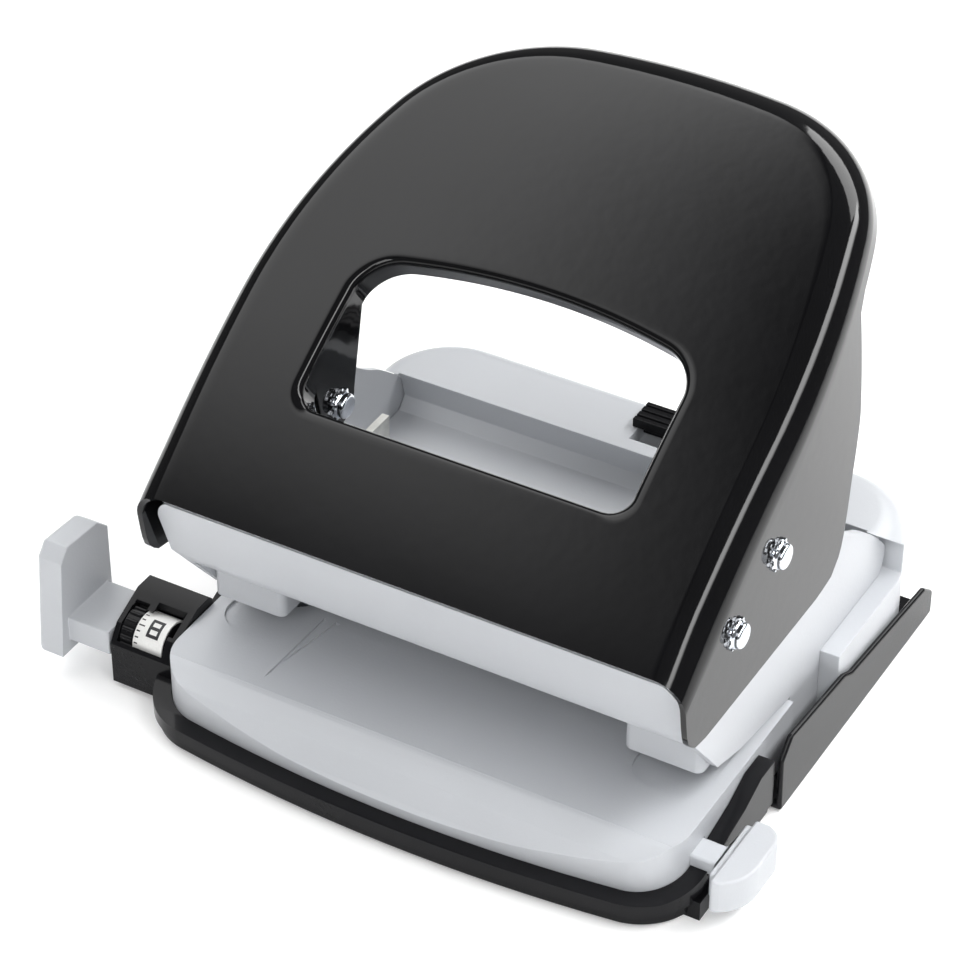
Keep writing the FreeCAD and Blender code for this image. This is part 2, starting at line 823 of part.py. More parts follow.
def make_guide_button():
    """D-shaped button that frees the guide, on a stem that runs through the rim and the tray's wall."""
    body = new_body("guide_button")
    start = size("knob_start_x")
    end = size("knob_end_x")
    high = size("bar_top_z")
    plan = [
        (start, KNOB_REAR),
        (end - 3, KNOB_REAR, 4),
        (end, KNOB_REAR - 3.6),
        (end, KNOB_REAR - 9.8, 8),
        (end - 4.2, KNOB_FRONT),
        (end - 5.4, KNOB_FRONT),
        (end - 5.4, KNOB_FRONT + 3),
        (start, KNOB_FRONT + 3),
    ]
    pad(body, outline(body, "XY", plan, KNOB_LOW), high - KNOB_LOW)
    ledge = box_points(start - 1, KNOB_FRONT - 5, start + 1.6, KNOB_REAR + 5)
    pocket(body, outline(body, "XY", ledge, high), 1.6)
    stem = start + 1 - size("stem_start_x")
    pad(body, outline(body, "YZ", stem_section(0), size("stem_start_x") + stem / 2), stem, both_ways=True)
    return keep(body, "guide_button")


def make_dial_housing():
    body = new_body("dial_housing")
    front = size("dial_front_y")
    rear = size("dial_rear_y")
    left = size("dial_left_x")
    right = -(TRAY_HALF + GAP)
    ridge = size("dial_ridge_z")
    profile = [
        (front, 1.2),
        (front, 9.6),
        (front + 2.3, 12.9),
        (front + 9.1, ridge),
        (rear - 0.8, ridge),
        (rear, ridge - 0.8),
        (rear, 1.2),
    ]
    middle = (left + right) / 2
    pad(body, outline(body, "YZ", profile, middle), right - left, both_ways=True)
    drum_room = circles(
        body, "YZ", [(size("drum_y"), size("drum_z"))], size("knurl_radius") + 0.25, left + 1.0
    )
    pocket(body, drum_room, right - left - 3.2, up=True)
    window = box_points(left + 5.4, front + 3.0, left + 11.2, front + 7.8)
    pocket(body, outline(body, "XY", window, ridge + 9), ridge)
    slot = box_points(left + 1.2, front + 4.0, left + 4.0, front + 7.0)
    pocket(body, outline(body, "XY", slot, ridge + 9), ridge)
    pocket(body, outline(body, "YZ", rail_passage()), 200, both_ways=True)
    bore = circles(body, "YZ", [(size("drum_y"), size("drum_z"))], 1.0)
    pocket(body, bore, (-left) * 2 + 20, both_ways=True)
    return keep(body, "dial_housing")


def make_format_dial():
    """Drum with a knurled wheel at its left end, on a thin axle."""
    body = new_body("format_dial")
    place = [(size("drum_y"), size("drum_z"))]
    start = size("dial_left_x") + 1.3
    wheel = size("wheel_width")
    pad(body, circles(body, "YZ", place, size("knurl_radius") - 0.35, start), wheel)
    pad(body, circles(body, "YZ", place, size("drum_radius") - 0.3, start + wheel), DRUM_LENGTH)
    pocket(body, circles(body, "YZ", place, 1.05, start - 9), 40, up=True)
    rib_place = size("knurl_radius") - 0.4
    count = int(number("knurl_ribs"))
    turns = [2 * math.pi * index / count for index in range(count)]
    ribs = [
        (size("drum_y") + rib_place * math.cos(turn), size("drum_z") + rib_place * math.sin(turn))
        for turn in turns
    ]
    pad(body, circles(body, "YZ", ribs, 0.4, start + 0.2), wheel - 0.4)
    return keep(body, "format_dial")


def make_dial_label():
    body = new_body("dial_label")
    place = [(size("drum_y"), size("drum_z"))]
    start = size("dial_left_x") + size("wheel_width") + 1.3
    pad(body, circles(body, "YZ", place, size("drum_radius"), start), DRUM_LENGTH - 0.2)
    pocket(body, circles(body, "YZ", place, size("drum_radius") - 0.3, start - 1), 40, up=True)
    return keep(body, "dial_label")


def make_dial_axle():
    body = new_body("dial_axle")
    place = [(size("drum_y"), size("drum_z"))]
    start = size("dial_left_x") + 0.1
    length = -(TRAY_HALF + GAP) - size("dial_left_x") - 0.2
    pad(body, circles(body, "YZ", place, 1.0, start), length)
    return keep(body, "dial_axle")


# ---- punches ----------------------------------------------------------------------------------------


def make_punch(label):
    """Round punch with a hollow-ground tip and a flat head that the axle drives."""
    body = new_body(label)
    tip = size("punch_rest_z")
    shoulder = size("punch_shoulder_z")
    pad(body, circles(body, "XY", [(PUNCH_X, 0)], PUNCH_R, tip), shoulder - tip)
    half_w = size("punch_head_width") / 2
    half_d = size("punch_head_depth") / 2
    head = box_points(PUNCH_X - half_w, -half_d, PUNCH_X + half_w, half_d)
    pad(body, outline(body, "XY", head, shoulder), size("punch_top_z") - shoulder)
    play = size("punch_slot_play")
    low = AXLE_R + size("drive_gap")
    slot = [
        (-play / 2, size("axle_height") - low),
        (play / 2, size("axle_height") - low, -low),
        (play / 2, size("axle_height") + low),
        (-play / 2, size("axle_height") + low, -low),
    ]
    pocket(body, outline(body, "YZ", slot, 90))
    bite = [(-9, tip - 1), (0, tip + 1.1), (9, tip - 1)]
    pocket(body, outline(body, "YZ", bite, 90))
    return keep(body, label)


def make_cross_pin(label, start, end, y, z):
    """A round pin along X with slightly rounded ends."""
    body = new_body(label)
    pad(body, circles(body, "YZ", [(y, z)], AXLE_R, start), end - start)
    round_edges(body, 0.5, lambda edge: edge.BoundBox.XLength < 0.01)
    return keep(body, label)


def star_ring(x, y, z):
    """Thin toothed ring pressed on a pin's end."""
    teeth = int(number("ring_teeth"))
    outer = number("ring_radius")
    points = []
    for index in range(teeth * 4):
        radius = outer if index % 4 < 2 else outer - 0.5
        angle = 2 * math.pi * (index + 0.5) / (teeth * 4)
        points.append(FreeCAD.Vector(x, y + radius * math.cos(angle), z + radius * math.sin(angle)))
    face = Part.Face(Part.makePolygon(points + points[:1]))
    plate = face.extrude(FreeCAD.Vector(number("ring_thickness"), 0, 0))
    hole = Part.makeCylinder(
        AXLE_R.value, 9, FreeCAD.Vector(x - 4, y, z), FreeCAD.Vector(1, 0, 0)
    )
    return plate.cut(hole)


def make_star_rings():
    thick = number("ring_thickness")
    cheek = number("handle_width") / 2 + 0.02
    rings = []
    for y, z in ((0.0, number("axle_height")), (number("pivot_y"), number("pivot_z"))):
        rings.append(star_ring(cheek, y, z))
        rings.append(star_ring(-cheek - thick, y, z))
    ear = number("window_width") / 2 - 0.02
    rings.append(star_ring(ear - thick, 0.0, number("axle_height")))
    rings.append(star_ring(-ear, 0.0, number("axle_height")))
    return shape_part("star_rings", Part.makeCompound(rings))


def make_spring(label):
    """Return spring round the punch, between the bracket and the collar."""
    wire = number("spring_wire") / 2
    low = number("ceiling_top_z") + number("bracket_sheet") + 0.1 + wire
    high = number("punch_shoulder_z") - number("collar_height") - 0.1 - wire
    turns = number("spring_turns")
    radius = number("spring_radius")
    helix = Part.makeHelix((high - low) / turns, high - low, radius)
    sides = 8
    turns_of_wire = [2 * math.pi * index / sides for index in range(sides)]
    corners = [
        FreeCAD.Vector(radius + wire * math.cos(turn), 0, wire * math.sin(turn)) for turn in turns_of_wire
    ]
    section = Part.makePolygon(corners + corners[:1])
    coil = Part.Wire(helix.Edges).makePipeShell([section], True, True)
    return shape_part(label, coil, FreeCAD.Vector(PUNCH_X.value, 0, low))


# ---- handle -----------------------------------------------------------------------------------------


def face_centre():
    """Centre of the handle face's arc, in the YZ plane."""
    angle = math.radians(number("face_angle"))
    radius = number("face_radius")
    return (
        number("lip_y") + radius * math.sin(angle),
        number("lip_z") - radius * math.cos(angle),
    )


def face_point(along, depth=0.0):
    """Point of the handle's face at a distance along its arc, and a depth below it."""
    angle = math.radians(number("face_angle")) - along / number("face_radius")
    centre_y, centre_z = face_centre()
    radius = number("face_radius") - depth
    return FreeCAD.Vector(0, centre_y - radius * math.sin(angle), centre_z + radius * math.cos(angle))


def swept_side(points, half_width):
    """Solid of the given half width whose side view is the closed run of edges."""
    face = Part.Face(Part.Wire(points))
    face.translate(FreeCAD.Vector(-half_width, 0, 0))
    return face.extrude(FreeCAD.Vector(half_width * 2, 0, 0))


def face_arc(start, end, depth=0.0):
    return Part.Arc(
        face_point(start, depth), face_point((start + end) / 2, depth), face_point(end, depth)
    ).toShape()


def run_of(points):
    """Straight edges through the points."""
    return [Part.LineSegment(a, b).toShape() for a, b in zip(points, points[1:])]


def draw_frame():
    """Where the plan outline lies, and the directions up its slope and out of the face."""
    angle = math.radians(number("draw_angle"))
    slope = FreeCAD.Vector(0, math.cos(angle), math.sin(angle))
    out = FreeCAD.Vector(0, -math.sin(angle), math.cos(angle))
    return face_point(0), slope, out


def plan_prism(inset):
    """The handle's outline seen along the press direction, as a tall solid."""
    origin, slope, out = draw_frame()
    half = number("handle_width") / 2 - inset
    waist = number("waist_radius") - inset
    crown = number("crown_radius") - inset
    start = number("waist_start")
    top = (face_point(number("face_length")) - origin).dot(slope) - inset
    across = FreeCAD.Vector(1, 0, 0)
    base = origin - out * 150

    def spot(x, along):
        return base + across * x + slope * along

    sides = []
    for sign in (1, -1):
        cylinder = Part.makeCylinder(waist, 300, spot((half - waist) * sign, start), out)
        block = Part.makeBox(waist, 200, 300)
        block.Placement = FreeCAD.Placement(
            spot(0 if sign > 0 else -waist, start), turn_of(across, slope, out)
        )
        straight = Part.makeBox(half, 90, 300)
        straight.Placement = FreeCAD.Placement(
            spot(0 if sign > 0 else -half, start - 90), turn_of(across, slope, out)
        )
        sides.append(cylinder.common(block).fuse(straight))
    plan = sides[0].fuse(sides[1])
    plan = plan.common(Part.makeCylinder(crown, 300, spot(0, top - crown), out)).removeSplitter()
    corners = [
        edge
        for edge in plan.Edges
        if abs(abs(edge.tangentAt(edge.FirstParameter).dot(out)) - 1) < 1e-6
        and (edge.CenterOfMass - origin).dot(slope) > top * 0.6
    ]
    return plan.makeFillet(number("crown_corner") - inset, corners)


def turn_of(across, slope, out):
    return FreeCAD.Rotation(across, slope, out, "XYZ")


def round_face(solid, depth, radius):
    """Rounds the border between the handle's face and its sides."""
    centre_y, centre_z = face_centre()
    arc_radius = number("face_radius") - depth
    chosen = []
    for edge in solid.Edges:
        reach = edge.LastParameter - edge.FirstParameter
        spots = [edge.valueAt(edge.FirstParameter + reach * share) for share in (0.0, 0.5, 1.0)]
        on_face = all(
            abs(math.hypot(spot.y - centre_y, spot.z - centre_z) - arc_radius) < 0.01 for spot in spots
        )
        if on_face and not all(abs(spot.y - spots[0].y) < 1e-6 for spot in spots):
            chosen.append(edge)
    if not chosen:
        raise RuntimeError("the handle's face has no border")
    return solid.makeFillet(radius, chosen)


def window_prism(grow):
    """The hand hole as a tall solid: straight sides and a bowed top."""
    origin, slope, out = draw_frame()
    half = number("window_width") / 2 + grow
    start = number("window_start")
    low = (face_point(start) - origin).dot(slope) - grow
    high = (face_point(start + number("window_length")) - origin).dot(slope) + grow
    bow = number("window_bow") + grow
    across = FreeCAD.Vector(1, 0, 0)
    base = origin - out * 60
    block = Part.makeBox(half * 2, high - low, 160)
    block.Placement = FreeCAD.Placement(base - across * half + slope * low, turn_of(across, slope, out))
    crest = Part.makeCylinder(bow, 160, base + slope * (high - bow), out)
    block = block.common(crest)
    ends = {True: [], False: []}
    for edge in block.Edges:
        if abs(abs(edge.tangentAt(edge.FirstParameter).dot(out)) - 1) < 1e-6:
            if abs(abs(edge.CenterOfMass.x) - half) < 0.01:
                ends[(edge.CenterOfMass - origin).dot(slope) > (low + high) / 2].append(edge)
    block = block.makeFillet(number("window_corner") + grow, ends[True])
    lower = [
        edge
        for edge in block.Edges
        if abs(abs(edge.tangentAt(edge.FirstParameter).dot(out)) - 1) < 1e-6
        and abs(abs(edge.CenterOfMass.x) - half) < 0.01
        and (edge.CenterOfMass - origin).dot(slope) < low + 1
    ]
    return block.makeFillet(number("window_corner") / 2 + grow, lower)


def make_handle_shell():
    """Pressed sheet-steel handle: face, rim, cheeks, window flange and the two inner ears."""
    length = number("face_length")
    wall = number("sheet")
    rim = number("rim_depth")
    low = number("cheek_bottom_z")
    crown_start = 75.0
    lower = [
        FreeCAD.Vector(0, 32.6, 62.0),
        FreeCAD.Vector(0, 28.8, 51.8),
        FreeCAD.Vector(0, 26.2, 40.0),
        FreeCAD.Vector(0, 22.5, low + 0.8),
        FreeCAD.Vector(0, 17.7, low),
        FreeCAD.Vector(0, number("head_lip_y") + 2.3, low),
        FreeCAD.Vector(0, number("head_lip_y") - 1.0, low + 1.2),
        FreeCAD.Vector(0, number("lip_y") + 1.6, low + 5.2),
        face_point(0),
    ]
    reach = length + 12
    hook = [face_point(reach), face_point(reach, rim)]
    side = [face_arc(0, reach)] + run_of(hook) + [face_arc(reach, crown_start, rim)]
    side += run_of([face_point(crown_start, rim)] + lower)
    half = number("handle_width") / 2
    outer_side = swept_side(side, half + 9)
    outer = plan_prism(0).common(outer_side)
    outer = round_face(outer, 0, number("edge_round"))
    start = face_point(0, wall)
    before = start - (face_point(4, wall) - start) * 6
    deep = [
        face_point(reach, wall),
        FreeCAD.Vector(0, 120, -60),
        FreeCAD.Vector(0, before.y, -60),
        before,
        start,
    ]
    inner_side = swept_side([face_arc(0, reach, wall)] + run_of(deep), half + 9)
    inner = plan_prism(wall).common(inner_side)
    inner = round_face(inner, wall, number("edge_round") - wall)
    shell = outer.cut(inner)
    hole = window_prism(0)
    flange_band = swept_side(
        [face_arc(4, length, 0.3)]
        + run_of([face_point(length, 0.3), face_point(length, number("flange_depth"))])
        + [face_arc(length, 4, number("flange_depth"))]
        + run_of([face_point(4, number("flange_depth")), face_point(4, 0.3)]),
        half,
    )
    flange = window_prism(wall).common(flange_band)
    solid = shell.fuse(flange).cut(hole)
    ear_x = number("window_width") / 2
    radius = number("ear_radius")
    height = number("axle_height")
    ear_side = Part.Face(
        Part.Wire(
            [
                Part.Arc(
                    FreeCAD.Vector(0, radius, height),
                    FreeCAD.Vector(0, 0, height - radius),
                    FreeCAD.Vector(0, -radius, height),
                ).toShape()
            ]
            + run_of(
                [
                    FreeCAD.Vector(0, -radius, height),
                    face_point(28, number("flange_depth") - 2.0),
                    face_point(28, 0.8),
                ]
            )
            + [face_arc(28, 47, 0.8)]
            + run_of(
                [
                    face_point(47, 0.8),
                    face_point(47, number("flange_depth") - 2.0),
                    FreeCAD.Vector(0, radius, height),
                ]
            )
        )
    )
    for sign in (1, -1):
        ear = ear_side.extrude(FreeCAD.Vector(wall, 0, 0))
        ear.translate(FreeCAD.Vector(ear_x if sign > 0 else -ear_x - wall, 0, 0))
        solid = solid.fuse(ear)
    across = FreeCAD.Vector(1, 0, 0)
    for y, z in ((0.0, height), (number("pivot_y"), number("pivot_z"))):
        bore = Part.makeCylinder(AXLE_R.value, 200, FreeCAD.Vector(-100, y, z), across)
        solid = solid.cut(bore)
    return shape_part("handle_shell", solid.removeSplitter())


# ---- assembly ---------------------------------------------------------------------------------------


def make_everything():
    make_front_tray()
    make_front_rim()
    make_front_pad()
    make_head_housing()
    make_paper_stop()
    make_rear_cover()
    make_chip_tray()
    mirrored(make_guide_block("guide_block_right"), "guide_block_left")
    mirrored(make_bracket("bracket_right"), "bracket_left")
    bush_low = size("block_bottom_z") + 0.1
    bush_high = size("ceiling_top_z") + size("bracket_sheet")
    bush = tube("punch_bush_right", PUNCH_X, size("bush_radius"), PUNCH_R + RUN, bush_low, bush_high)
    mirrored(bush, "punch_bush_left")
    die_top = size("tray_top_z") - size("die_recess_depth")
    die_low = size("tray_top_z") - size("die_height")
    die = tube("die_right", PUNCH_X, size("die_radius"), PUNCH_R + RUN, die_low, die_top)
    mirrored(die, "die_left")
    make_guide_bar()
    make_guide_button()
    make_dial_housing()
    make_format_dial()
    make_dial_label()
    make_dial_axle()
    mirrored(make_punch("punch_right"), "punch_left")
    collar_low = size("punch_shoulder_z") - size("collar_height")
    collar = tube(
        "spring_collar_right", PUNCH_X, size("collar_radius"), PUNCH_R, collar_low, size("punch_shoulder_z")
    )
    mirrored(collar, "spring_collar_left")
    mirrored(make_spring("return_spring_right"), "return_spring_left")
    drive = make_cross_pin(
        "drive_axle_right", size("axle_inner_x"), size("axle_outer_x"), 0, size("axle_height")
    )
    mirrored(drive, "drive_axle_left")
    pivot = make_cross_pin(
        "pivot_pin_right", size("pivot_inner_x"), size("axle_outer_x"), size("pivot_y"), size("pivot_z")
    )
    mirrored(pivot, "pivot_pin_left")
    make_star_rings()
    make_handle_shell()
    pads = [(0, 0)] + [(x, y) for x in (-42, 42) for y in (12, 54)]
    disc_group("rubber_feet", pads, size("foot_radius"), 0, 0.5)
    make_lock_slider()


make_everything()
doc.recompute()

for item in doc.Objects:
    if "Invalid" in item.State or "Error" in item.State:
        raise RuntimeError(f"{item.Label} has failed: {item.State}")
for part in PARTS:
    if part.Shape.isNull() or not part.Shape.isValid():
        raise RuntimeError(f"{part.Label} has no valid shape")

os.makedirs("parts", exist_ok=True)
for part in PARTS:
    part.Shape.exportStep(f"parts/{part.Label}.step")
print(f"{len(PARTS)} sub-parts")
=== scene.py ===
import json
import math

import bmesh
import bpy
from mathutils import Matrix, Vector


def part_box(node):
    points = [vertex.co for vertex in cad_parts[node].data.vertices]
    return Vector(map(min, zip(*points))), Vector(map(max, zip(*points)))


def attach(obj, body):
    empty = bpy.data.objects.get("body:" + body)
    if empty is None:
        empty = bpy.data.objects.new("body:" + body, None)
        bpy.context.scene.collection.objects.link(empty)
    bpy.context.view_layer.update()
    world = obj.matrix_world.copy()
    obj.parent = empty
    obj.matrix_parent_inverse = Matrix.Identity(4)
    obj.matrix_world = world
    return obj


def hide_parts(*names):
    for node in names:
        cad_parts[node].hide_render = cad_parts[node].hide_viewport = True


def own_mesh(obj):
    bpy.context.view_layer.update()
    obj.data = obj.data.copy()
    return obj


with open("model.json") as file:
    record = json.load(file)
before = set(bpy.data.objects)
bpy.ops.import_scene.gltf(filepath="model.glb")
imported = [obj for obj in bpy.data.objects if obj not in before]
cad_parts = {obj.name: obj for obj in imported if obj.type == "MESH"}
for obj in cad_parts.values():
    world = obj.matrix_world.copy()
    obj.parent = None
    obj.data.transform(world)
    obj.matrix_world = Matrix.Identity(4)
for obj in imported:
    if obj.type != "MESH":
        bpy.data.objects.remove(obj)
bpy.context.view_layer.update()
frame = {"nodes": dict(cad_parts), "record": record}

bl_info = {
    "name": "Desk Hole Punch",
    "version": (1, 0, 0),
    "blender": (4, 5, 0),
    "location": "View3D > Sidebar > Hole Punch",
    "description": "Builds the lacquered lever handle, moulded base, guide and dial of a desk hole punch",
    "category": "Object",
}

MM = 0.001
LIP = (0, -31.4, 50.6)
WAIST_RADIUS = 145 * MM
WAIST_START = 38 * MM
CROWN_RADIUS = 150 * MM
CROWN_CORNER = 32 * MM
CROWN_START = 75 * MM
WINDOW_HALF = 30.5 * MM
WINDOW_START = 22.5 * MM
WINDOW_END = 54.5 * MM
WINDOW_BOW = 120 * MM
EAR_RADIUS = 5.2 * MM
EAR_X = 30.5 * MM
PIN_RADIUS = 2.2
RING_REACH = 2.55
RING_GAP = 0.02 * MM
BODY_OF = {node: body for body, nodes in frame["record"]["behaviour"]["bodies"].items() for node in nodes}
SLOT_OF = {part["node"]: part["material_slot"] for part in frame["record"]["subparts"]}


# ---- sizes and colours a user may change ------------------------------------------------------------


class PunchSizes(bpy.types.PropertyGroup):
    """Sizes of the handle's pressing and of the moulded parts' edges."""

    half_width: bpy.props.FloatProperty(
        name="Half width", description="Half of the handle's width over the cheeks", default=0.051, unit="LENGTH"
    )
    face_radius: bpy.props.FloatProperty(
        name="Face radius", description="Radius of the handle's arched face", default=0.190, unit="LENGTH"
    )
    face_angle: bpy.props.FloatProperty(
        name="Face angle", description="Slope of the face at its lip", default=math.radians(42), subtype="ANGLE"
    )
    face_length: bpy.props.FloatProperty(
        name="Face length", description="Length of the face along its arch", default=0.1095, unit="LENGTH"
    )
    draw_angle: bpy.props.FloatProperty(
        name="Draw angle", description="Tilt of the pressing direction", default=math.radians(40), subtype="ANGLE"
    )
    edge_round: bpy.props.FloatProperty(
        name="Edge round", description="Radius between the face and the cheeks", default=0.0055, unit="LENGTH"
    )
    rim_depth: bpy.props.FloatProperty(
        name="Rim depth", description="Depth of the rim round the crown", default=0.008, unit="LENGTH"
    )
    sheet: bpy.props.FloatProperty(
        name="Sheet", description="Thickness of the handle's steel", default=0.001, unit="LENGTH"
    )
    flange_depth: bpy.props.FloatProperty(
        name="Flange depth", description="Depth of the window's flange", default=0.006, unit="LENGTH"
    )
    edge_bevel: bpy.props.FloatProperty(
        name="Edge bevel", description="Rounding of the moulded parts' edges", default=0.0006, unit="LENGTH"
    )


class PunchColours(bpy.types.PropertyGroup):
    """Base colours of the finishes."""

    lacquer: bpy.props.FloatVectorProperty(
        name="Lacquer",
        description="Handle's lacquer",
        default=(0.004, 0.004, 0.0045),
        subtype="COLOR",
        size=3,
    )
    pale: bpy.props.FloatVectorProperty(
        name="Pale plastic",
        description="Moulded pale parts",
        default=(0.50, 0.515, 0.54),
        subtype="COLOR",
        size=3,
    )
    black: bpy.props.FloatVectorProperty(
        name="Black plastic",
        description="Moulded black parts",
        default=(0.008, 0.008, 0.009),
        subtype="COLOR",
        size=3,
    )
    print: bpy.props.FloatVectorProperty(
        name="Dial print",
        description="Paper of the dial's label",
        default=(0.78, 0.78, 0.76),
        subtype="COLOR",
        size=3,
    )


# ---- finishes ---------------------------------------------------------------------------------------


def new_finish(name):
    """A material with its shader and a texture space in metres."""
    finish = bpy.data.materials.new(name)
    finish.use_nodes = True
    tree = finish.node_tree
    shader = tree.nodes["Principled BSDF"]
    place = tree.nodes.new("ShaderNodeTexCoord")
    return finish, tree, shader, place.outputs["Object"]


def grain(tree, place, scale, detail=3.0):
    """A fine noise pattern."""
    noise = tree.nodes.new("ShaderNodeTexNoise")
    noise.inputs["Scale"].default_value = scale
    noise.inputs["Detail"].default_value = detail
    tree.links.new(place, noise.inputs["Vector"])
    return noise.outputs["Fac"]


def spread(tree, source, low, high):
    """Maps a 0 to 1 pattern to a range of values."""
    node = tree.nodes.new("ShaderNodeMapRange")
    node.inputs["To Min"].default_value = low
    node.inputs["To Max"].default_value = high
    tree.links.new(source, node.inputs["Value"])
    return node.outputs["Result"]


def tint(tree, source, dark, light, target):
    """Colours a surface between two close shades."""
    ramp = tree.nodes.new("ShaderNodeValToRGB")
    ramp.color_ramp.elements[0].position = 0.3
    ramp.color_ramp.elements[1].position = 0.7
    ramp.color_ramp.elements[0].color = (*dark, 1)
    ramp.color_ramp.elements[1].color = (*light, 1)
    tree.links.new(source, ramp.inputs["Fac"])
    tree.links.new(ramp.outputs["Color"], target)


def relief(tree, source, shader, strength, distance):
    """Fine unevenness of a surface."""
    bump = tree.nodes.new("ShaderNodeBump")
    bump.inputs["Strength"].default_value = strength
    bump.inputs["Distance"].default_value = distance
    tree.links.new(source, bump.inputs["Height"])
    tree.links.new(bump.outputs["Normal"], shader.inputs["Normal"])


def scaled(colour, factor):
    return tuple(min(channel * factor, 1.0) for channel in colour)


def lacquer_finish(colour):
    """Baked black lacquer: deep gloss, faint orange peel and a little haze from handling."""
    finish, tree, shader, place = new_finish("baked_black_lacquer")
    peel = grain(tree, place, 420, 1.0)
    relief(tree, peel, shader, 0.035, 0.0003)
    haze = grain(tree, place, 38, 4.0)
    tree.links.new(spread(tree, haze, 0.045, 0.095), shader.inputs["Roughness"])
    tint(tree, haze, scaled(colour, 0.8), scaled(colour, 1.25), shader.inputs["Base Color"])
    shader.inputs["Specular IOR Level"].default_value = 0.26
    return finish


def moulded_finish(name, colour, rough_low, rough_high, grain_scale, depth, gloss=0.5):
    """Injection-moulded plastic with a fine spark-eroded grain and slight flow variation."""
    finish, tree, shader, place = new_finish(name)
    fine = grain(tree, place, grain_scale, 2.0)
    relief(tree, fine, shader, depth, 0.0002)
    flow = grain(tree, place, 22, 3.0)
    tint(tree, flow, scaled(colour, 0.97), scaled(colour, 1.03), shader.inputs["Base Color"])
    cloud = grain(tree, place, 60, 5.0)
    tree.links.new(spread(tree, cloud, rough_low, rough_high), shader.inputs["Roughness"])
    shader.inputs["IOR"].default_value = 1.49
    shader.inputs["Specular IOR Level"].default_value = gloss
    return finish


def metal_finish(name, colour, rough_low, rough_high, stretch, depth):
    """Steel with fine marks; the stretch sets which way the marks run."""
    finish, tree, shader, place = new_finish(name)
    shader.inputs["Metallic"].default_value = 1.0
    scale = tree.nodes.new("ShaderNodeMapping")
    scale.inputs["Scale"].default_value = stretch
    tree.links.new(place, scale.inputs["Vector"])
    marks = grain(tree, scale.outputs["Vector"], 900, 4.0)
    relief(tree, marks, shader, depth, 0.0001)
    tint(tree, marks, scaled(colour, 0.86), scaled(colour, 1.08), shader.inputs["Base Color"])
    tree.links.new(spread(tree, marks, rough_low, rough_high), shader.inputs["Roughness"])
    return finish


def rubber_finish():
    finish, tree, shader, place = new_finish("dusty_rubber")
    speck = grain(tree, place, 1500, 4.0)
    relief(tree, speck, shader, 0.3, 0.0002)
    tint(tree, speck, (0.012, 0.012, 0.012), (0.03, 0.03, 0.03), shader.inputs["Base Color"])
    tree.links.new(spread(tree, speck, 0.75, 0.95), shader.inputs["Roughness"])
    return finish


def print_finish(colour):
    """Coated label stock with a faint paper tooth."""
    finish, tree, shader, place = new_finish("coated_label")
    tooth = grain(tree, place, 2600, 3.0)
    relief(tree, tooth, shader, 0.12, 0.0001)
    tint(tree, tooth, scaled(colour, 0.95), scaled(colour, 1.02), shader.inputs["Base Color"])
    tree.links.new(spread(tree, tooth, 0.4, 0.55), shader.inputs["Roughness"])
    return finish


def ink_finish():
    finish, tree, shader, place = new_finish("dial_ink")
    blot = grain(tree, place, 3000, 3.0)
    tint(tree, blot, (0.01, 0.01, 0.012), (0.03, 0.03, 0.034), shader.inputs["Base Color"])
    tree.links.new(spread(tree, blot, 0.45, 0.6), shader.inputs["Roughness"])
    return finish


def make_finishes(colours):
    """Every finish by the record's slot name."""
    return {
        "black_lacquer": lacquer_finish(tuple(colours.lacquer)),
        "white_plastic": moulded_finish("pale_moulding", tuple(colours.pale), 0.30, 0.44, 1900, 0.10),
        "black_plastic": moulded_finish("black_moulding", tuple(colours.black), 0.10, 0.20, 1400, 0.05, 0.14),
        "dial_print": print_finish(tuple(colours.print)),
        "bright_steel": metal_finish("bright_nickel", (0.72, 0.75, 0.80), 0.08, 0.2, (1, 1, 1), 0.12),
        "ground_steel": metal_finish("ground_steel", (0.55, 0.56, 0.58), 0.2, 0.36, (1, 1, 0.12), 0.2),
        "zinc_steel": metal_finish("zinc_plate", (0.62, 0.62, 0.59), 0.28, 0.46, (0.5, 0.5, 0.5), 0.15),
        "black_rubber": rubber_finish(),
        "ink": ink_finish(),
    }


FINISHES = {}


def finish_of(slot):
    if not FINISHES:
        FINISHES.update(make_finishes(bpy.context.scene.punch_colours))
    return FINISHES[slot]


# ---- common steps -----------------------------------------------------------------------------------


def add_piece(name, mesh, node, slot=None, replace=True):
    """Links a mesh as a piece that rides with a CAD node's body and takes its finish."""
    piece = bpy.data.objects.new(name, mesh)
    bpy.context.scene.collection.objects.link(piece)
    slot = slot or SLOT_OF[node]
    mesh.materials.clear()
    mesh.materials.append(finish_of(slot))
    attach(piece, BODY_OF[node])
    if replace:
        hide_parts(node)
    return piece


def apply_modifiers(piece):
    """Turns a piece's modifiers into plain mesh."""
    graph = bpy.context.evaluated_depsgraph_get()
    solid = bpy.data.meshes.new_from_object(piece.evaluated_get(graph))
    piece.modifiers.clear()
    piece.data = solid
    return piece


def moulded_copy(node, bevel, angle=28):
    """A CAD node again with softly rounded edges, the way a moulding leaves them."""
    source = frame["nodes"][node]
    mesh = source.data.copy()
    work = bmesh.new()
    work.from_mesh(mesh)
    bmesh.ops.remove_doubles(work, verts=work.verts, dist=2e-6)
    bmesh.ops.dissolve_limit(
        work, angle_limit=math.radians(0.6), verts=work.verts, edges=work.edges, delimit={"NORMAL"}
    )
    work.to_mesh(mesh)
    work.free()
    piece = add_piece(node + "_moulded", mesh, node)
    rounding = piece.modifiers.new("rounding", "BEVEL")
    rounding.width = bevel
    rounding.segments = 3
    rounding.limit_method = "ANGLE"
    rounding.angle_limit = math.radians(angle)
    rounding.use_clamp_overlap = True
    apply_modifiers(piece)
    smooth(piece, 35)
    return piece


